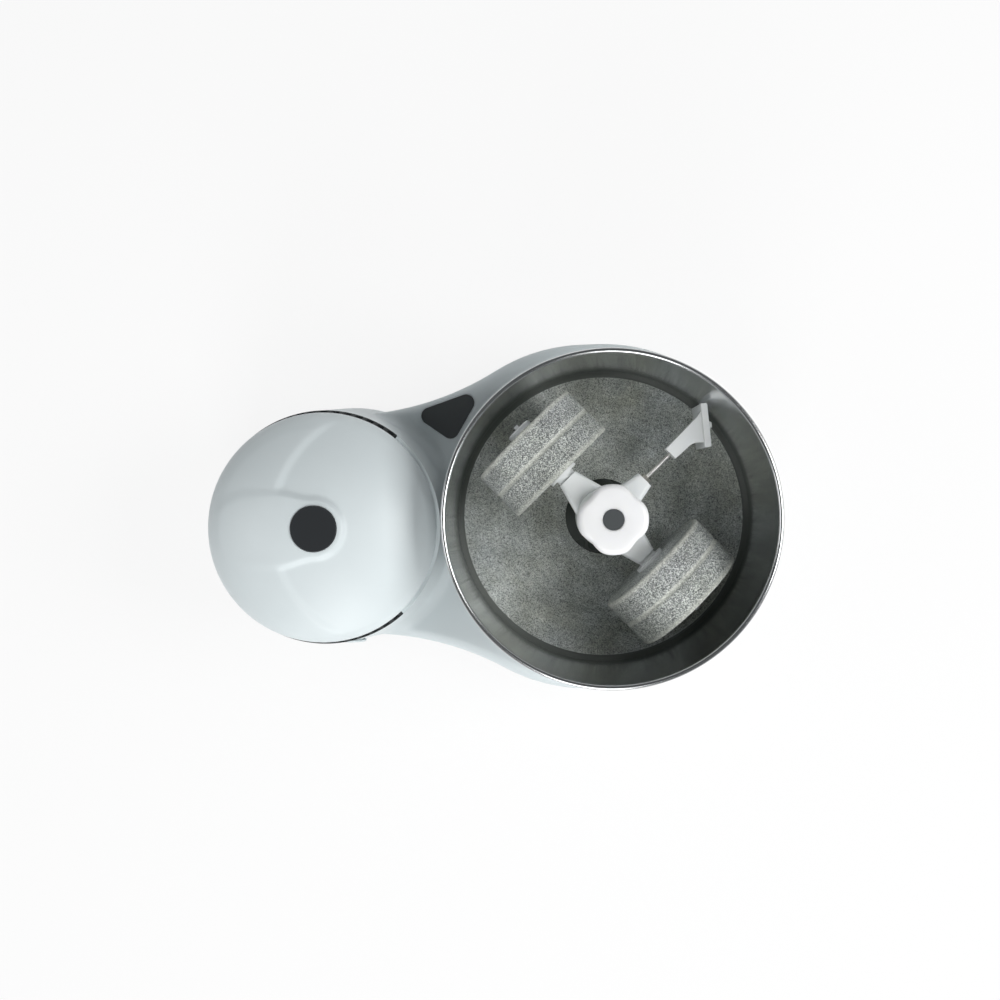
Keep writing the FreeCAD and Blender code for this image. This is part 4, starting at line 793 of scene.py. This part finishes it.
def floor_material():
    """Mostly its own white where it is seen, with a share of real light for the shadow."""
    material = bpy.data.materials.new("floor")
    material.use_nodes = True
    tree = material.node_tree
    lit = tree.nodes["Principled BSDF"]
    lit.inputs["Base Color"].default_value = (*FLOOR_PAINT, 1)
    lit.inputs["Roughness"].default_value = FLOOR_ROUGHNESS
    white = tree.nodes.new("ShaderNodeEmission")
    white.inputs["Strength"].default_value = 1.0
    share = tree.nodes.new("ShaderNodeMath")
    share.operation = "MULTIPLY"
    share.inputs[1].default_value = FLOOR_WHITE
    tree.links.new(seen_rays(tree), share.inputs[0])
    mixed = tree.nodes.new("ShaderNodeMixShader")
    tree.links.new(share.outputs[0], mixed.inputs["Fac"])
    tree.links.new(lit.outputs[0], mixed.inputs[1])
    tree.links.new(white.outputs[0], mixed.inputs[2])
    tree.links.new(mixed.outputs[0], tree.nodes["Material Output"].inputs["Surface"])
    return material


def make_floor():
    half = FLOOR_HALF
    corners = [(-half, -half, 0), (half, -half, 0), (half, half, 0), (-half, half, 0)]
    mesh = bpy.data.meshes.new("floor")
    mesh.from_pydata(corners, [], [(0, 1, 2, 3)])
    floor = bpy.data.objects.new("floor", mesh)
    bpy.context.scene.collection.objects.link(floor)
    mesh.materials.append(floor_material())


# Room light and soft lamps; a lamp has a name, a place, an aim, a width in metres and watts

SKY_TINT = (0.95, 0.98, 1.0)
SKY_STOPS = [(0.0, 1.0), (0.1, 1.0), (0.15, 0.16), (0.9, 0.13)]
PART_AIM = (0, 0, 0.15)
LOW_AIM = (0, 0, 0.1)
LAMPS = [
    ("side", (-1.3, 0.02, 1.46), PART_AIM, 0.9, 22),
    ("rear", (0.1, 1.65, 1.15), PART_AIM, 0.8, 15),
    ("rear_high", (0.0, 1.1, 1.75), PART_AIM, 0.8, 4),
    ("left", (1.45, 0.1, 1.3), PART_AIM, 0.8, 5),
    ("front_low", (0.2, -1.9, 0.3), LOW_AIM, 0.5, 0.6),
]


def make_world():
    """Room light, white at the horizon and dim overhead."""
    world = bpy.data.worlds.new("studio")
    bpy.context.scene.world = world
    world.use_nodes = True
    tree = world.node_tree
    place = tree.nodes.new("ShaderNodeTexCoord")
    parts = tree.nodes.new("ShaderNodeSeparateXYZ")
    tree.links.new(place.outputs["Generated"], parts.inputs["Vector"])
    band = tree.nodes.new("ShaderNodeValToRGB")
    set_stops(band.color_ramp, [(height, shade(SKY_TINT, level)) for height, level in SKY_STOPS])
    tree.links.new(parts.outputs["Z"], band.inputs["Fac"])
    tree.links.new(band.outputs["Color"], tree.nodes["Background"].inputs["Color"])


def soft_box(name, place, aim, width, watts):
    data = bpy.data.lights.new(name, "AREA")
    data.shape = "SQUARE"
    data.size = width
    data.energy = watts
    lamp = bpy.data.objects.new(name, data)
    lamp.location = place
    lamp.rotation_euler = (Vector(aim) - Vector(place)).to_track_quat("-Z", "Y").to_euler()
    bpy.context.scene.collection.objects.link(lamp)


make_camera()
make_floor()
make_world()
for lamp_values in LAMPS:
    soft_box(*lamp_values)
bpy.context.scene.view_settings.view_transform = "Standard"
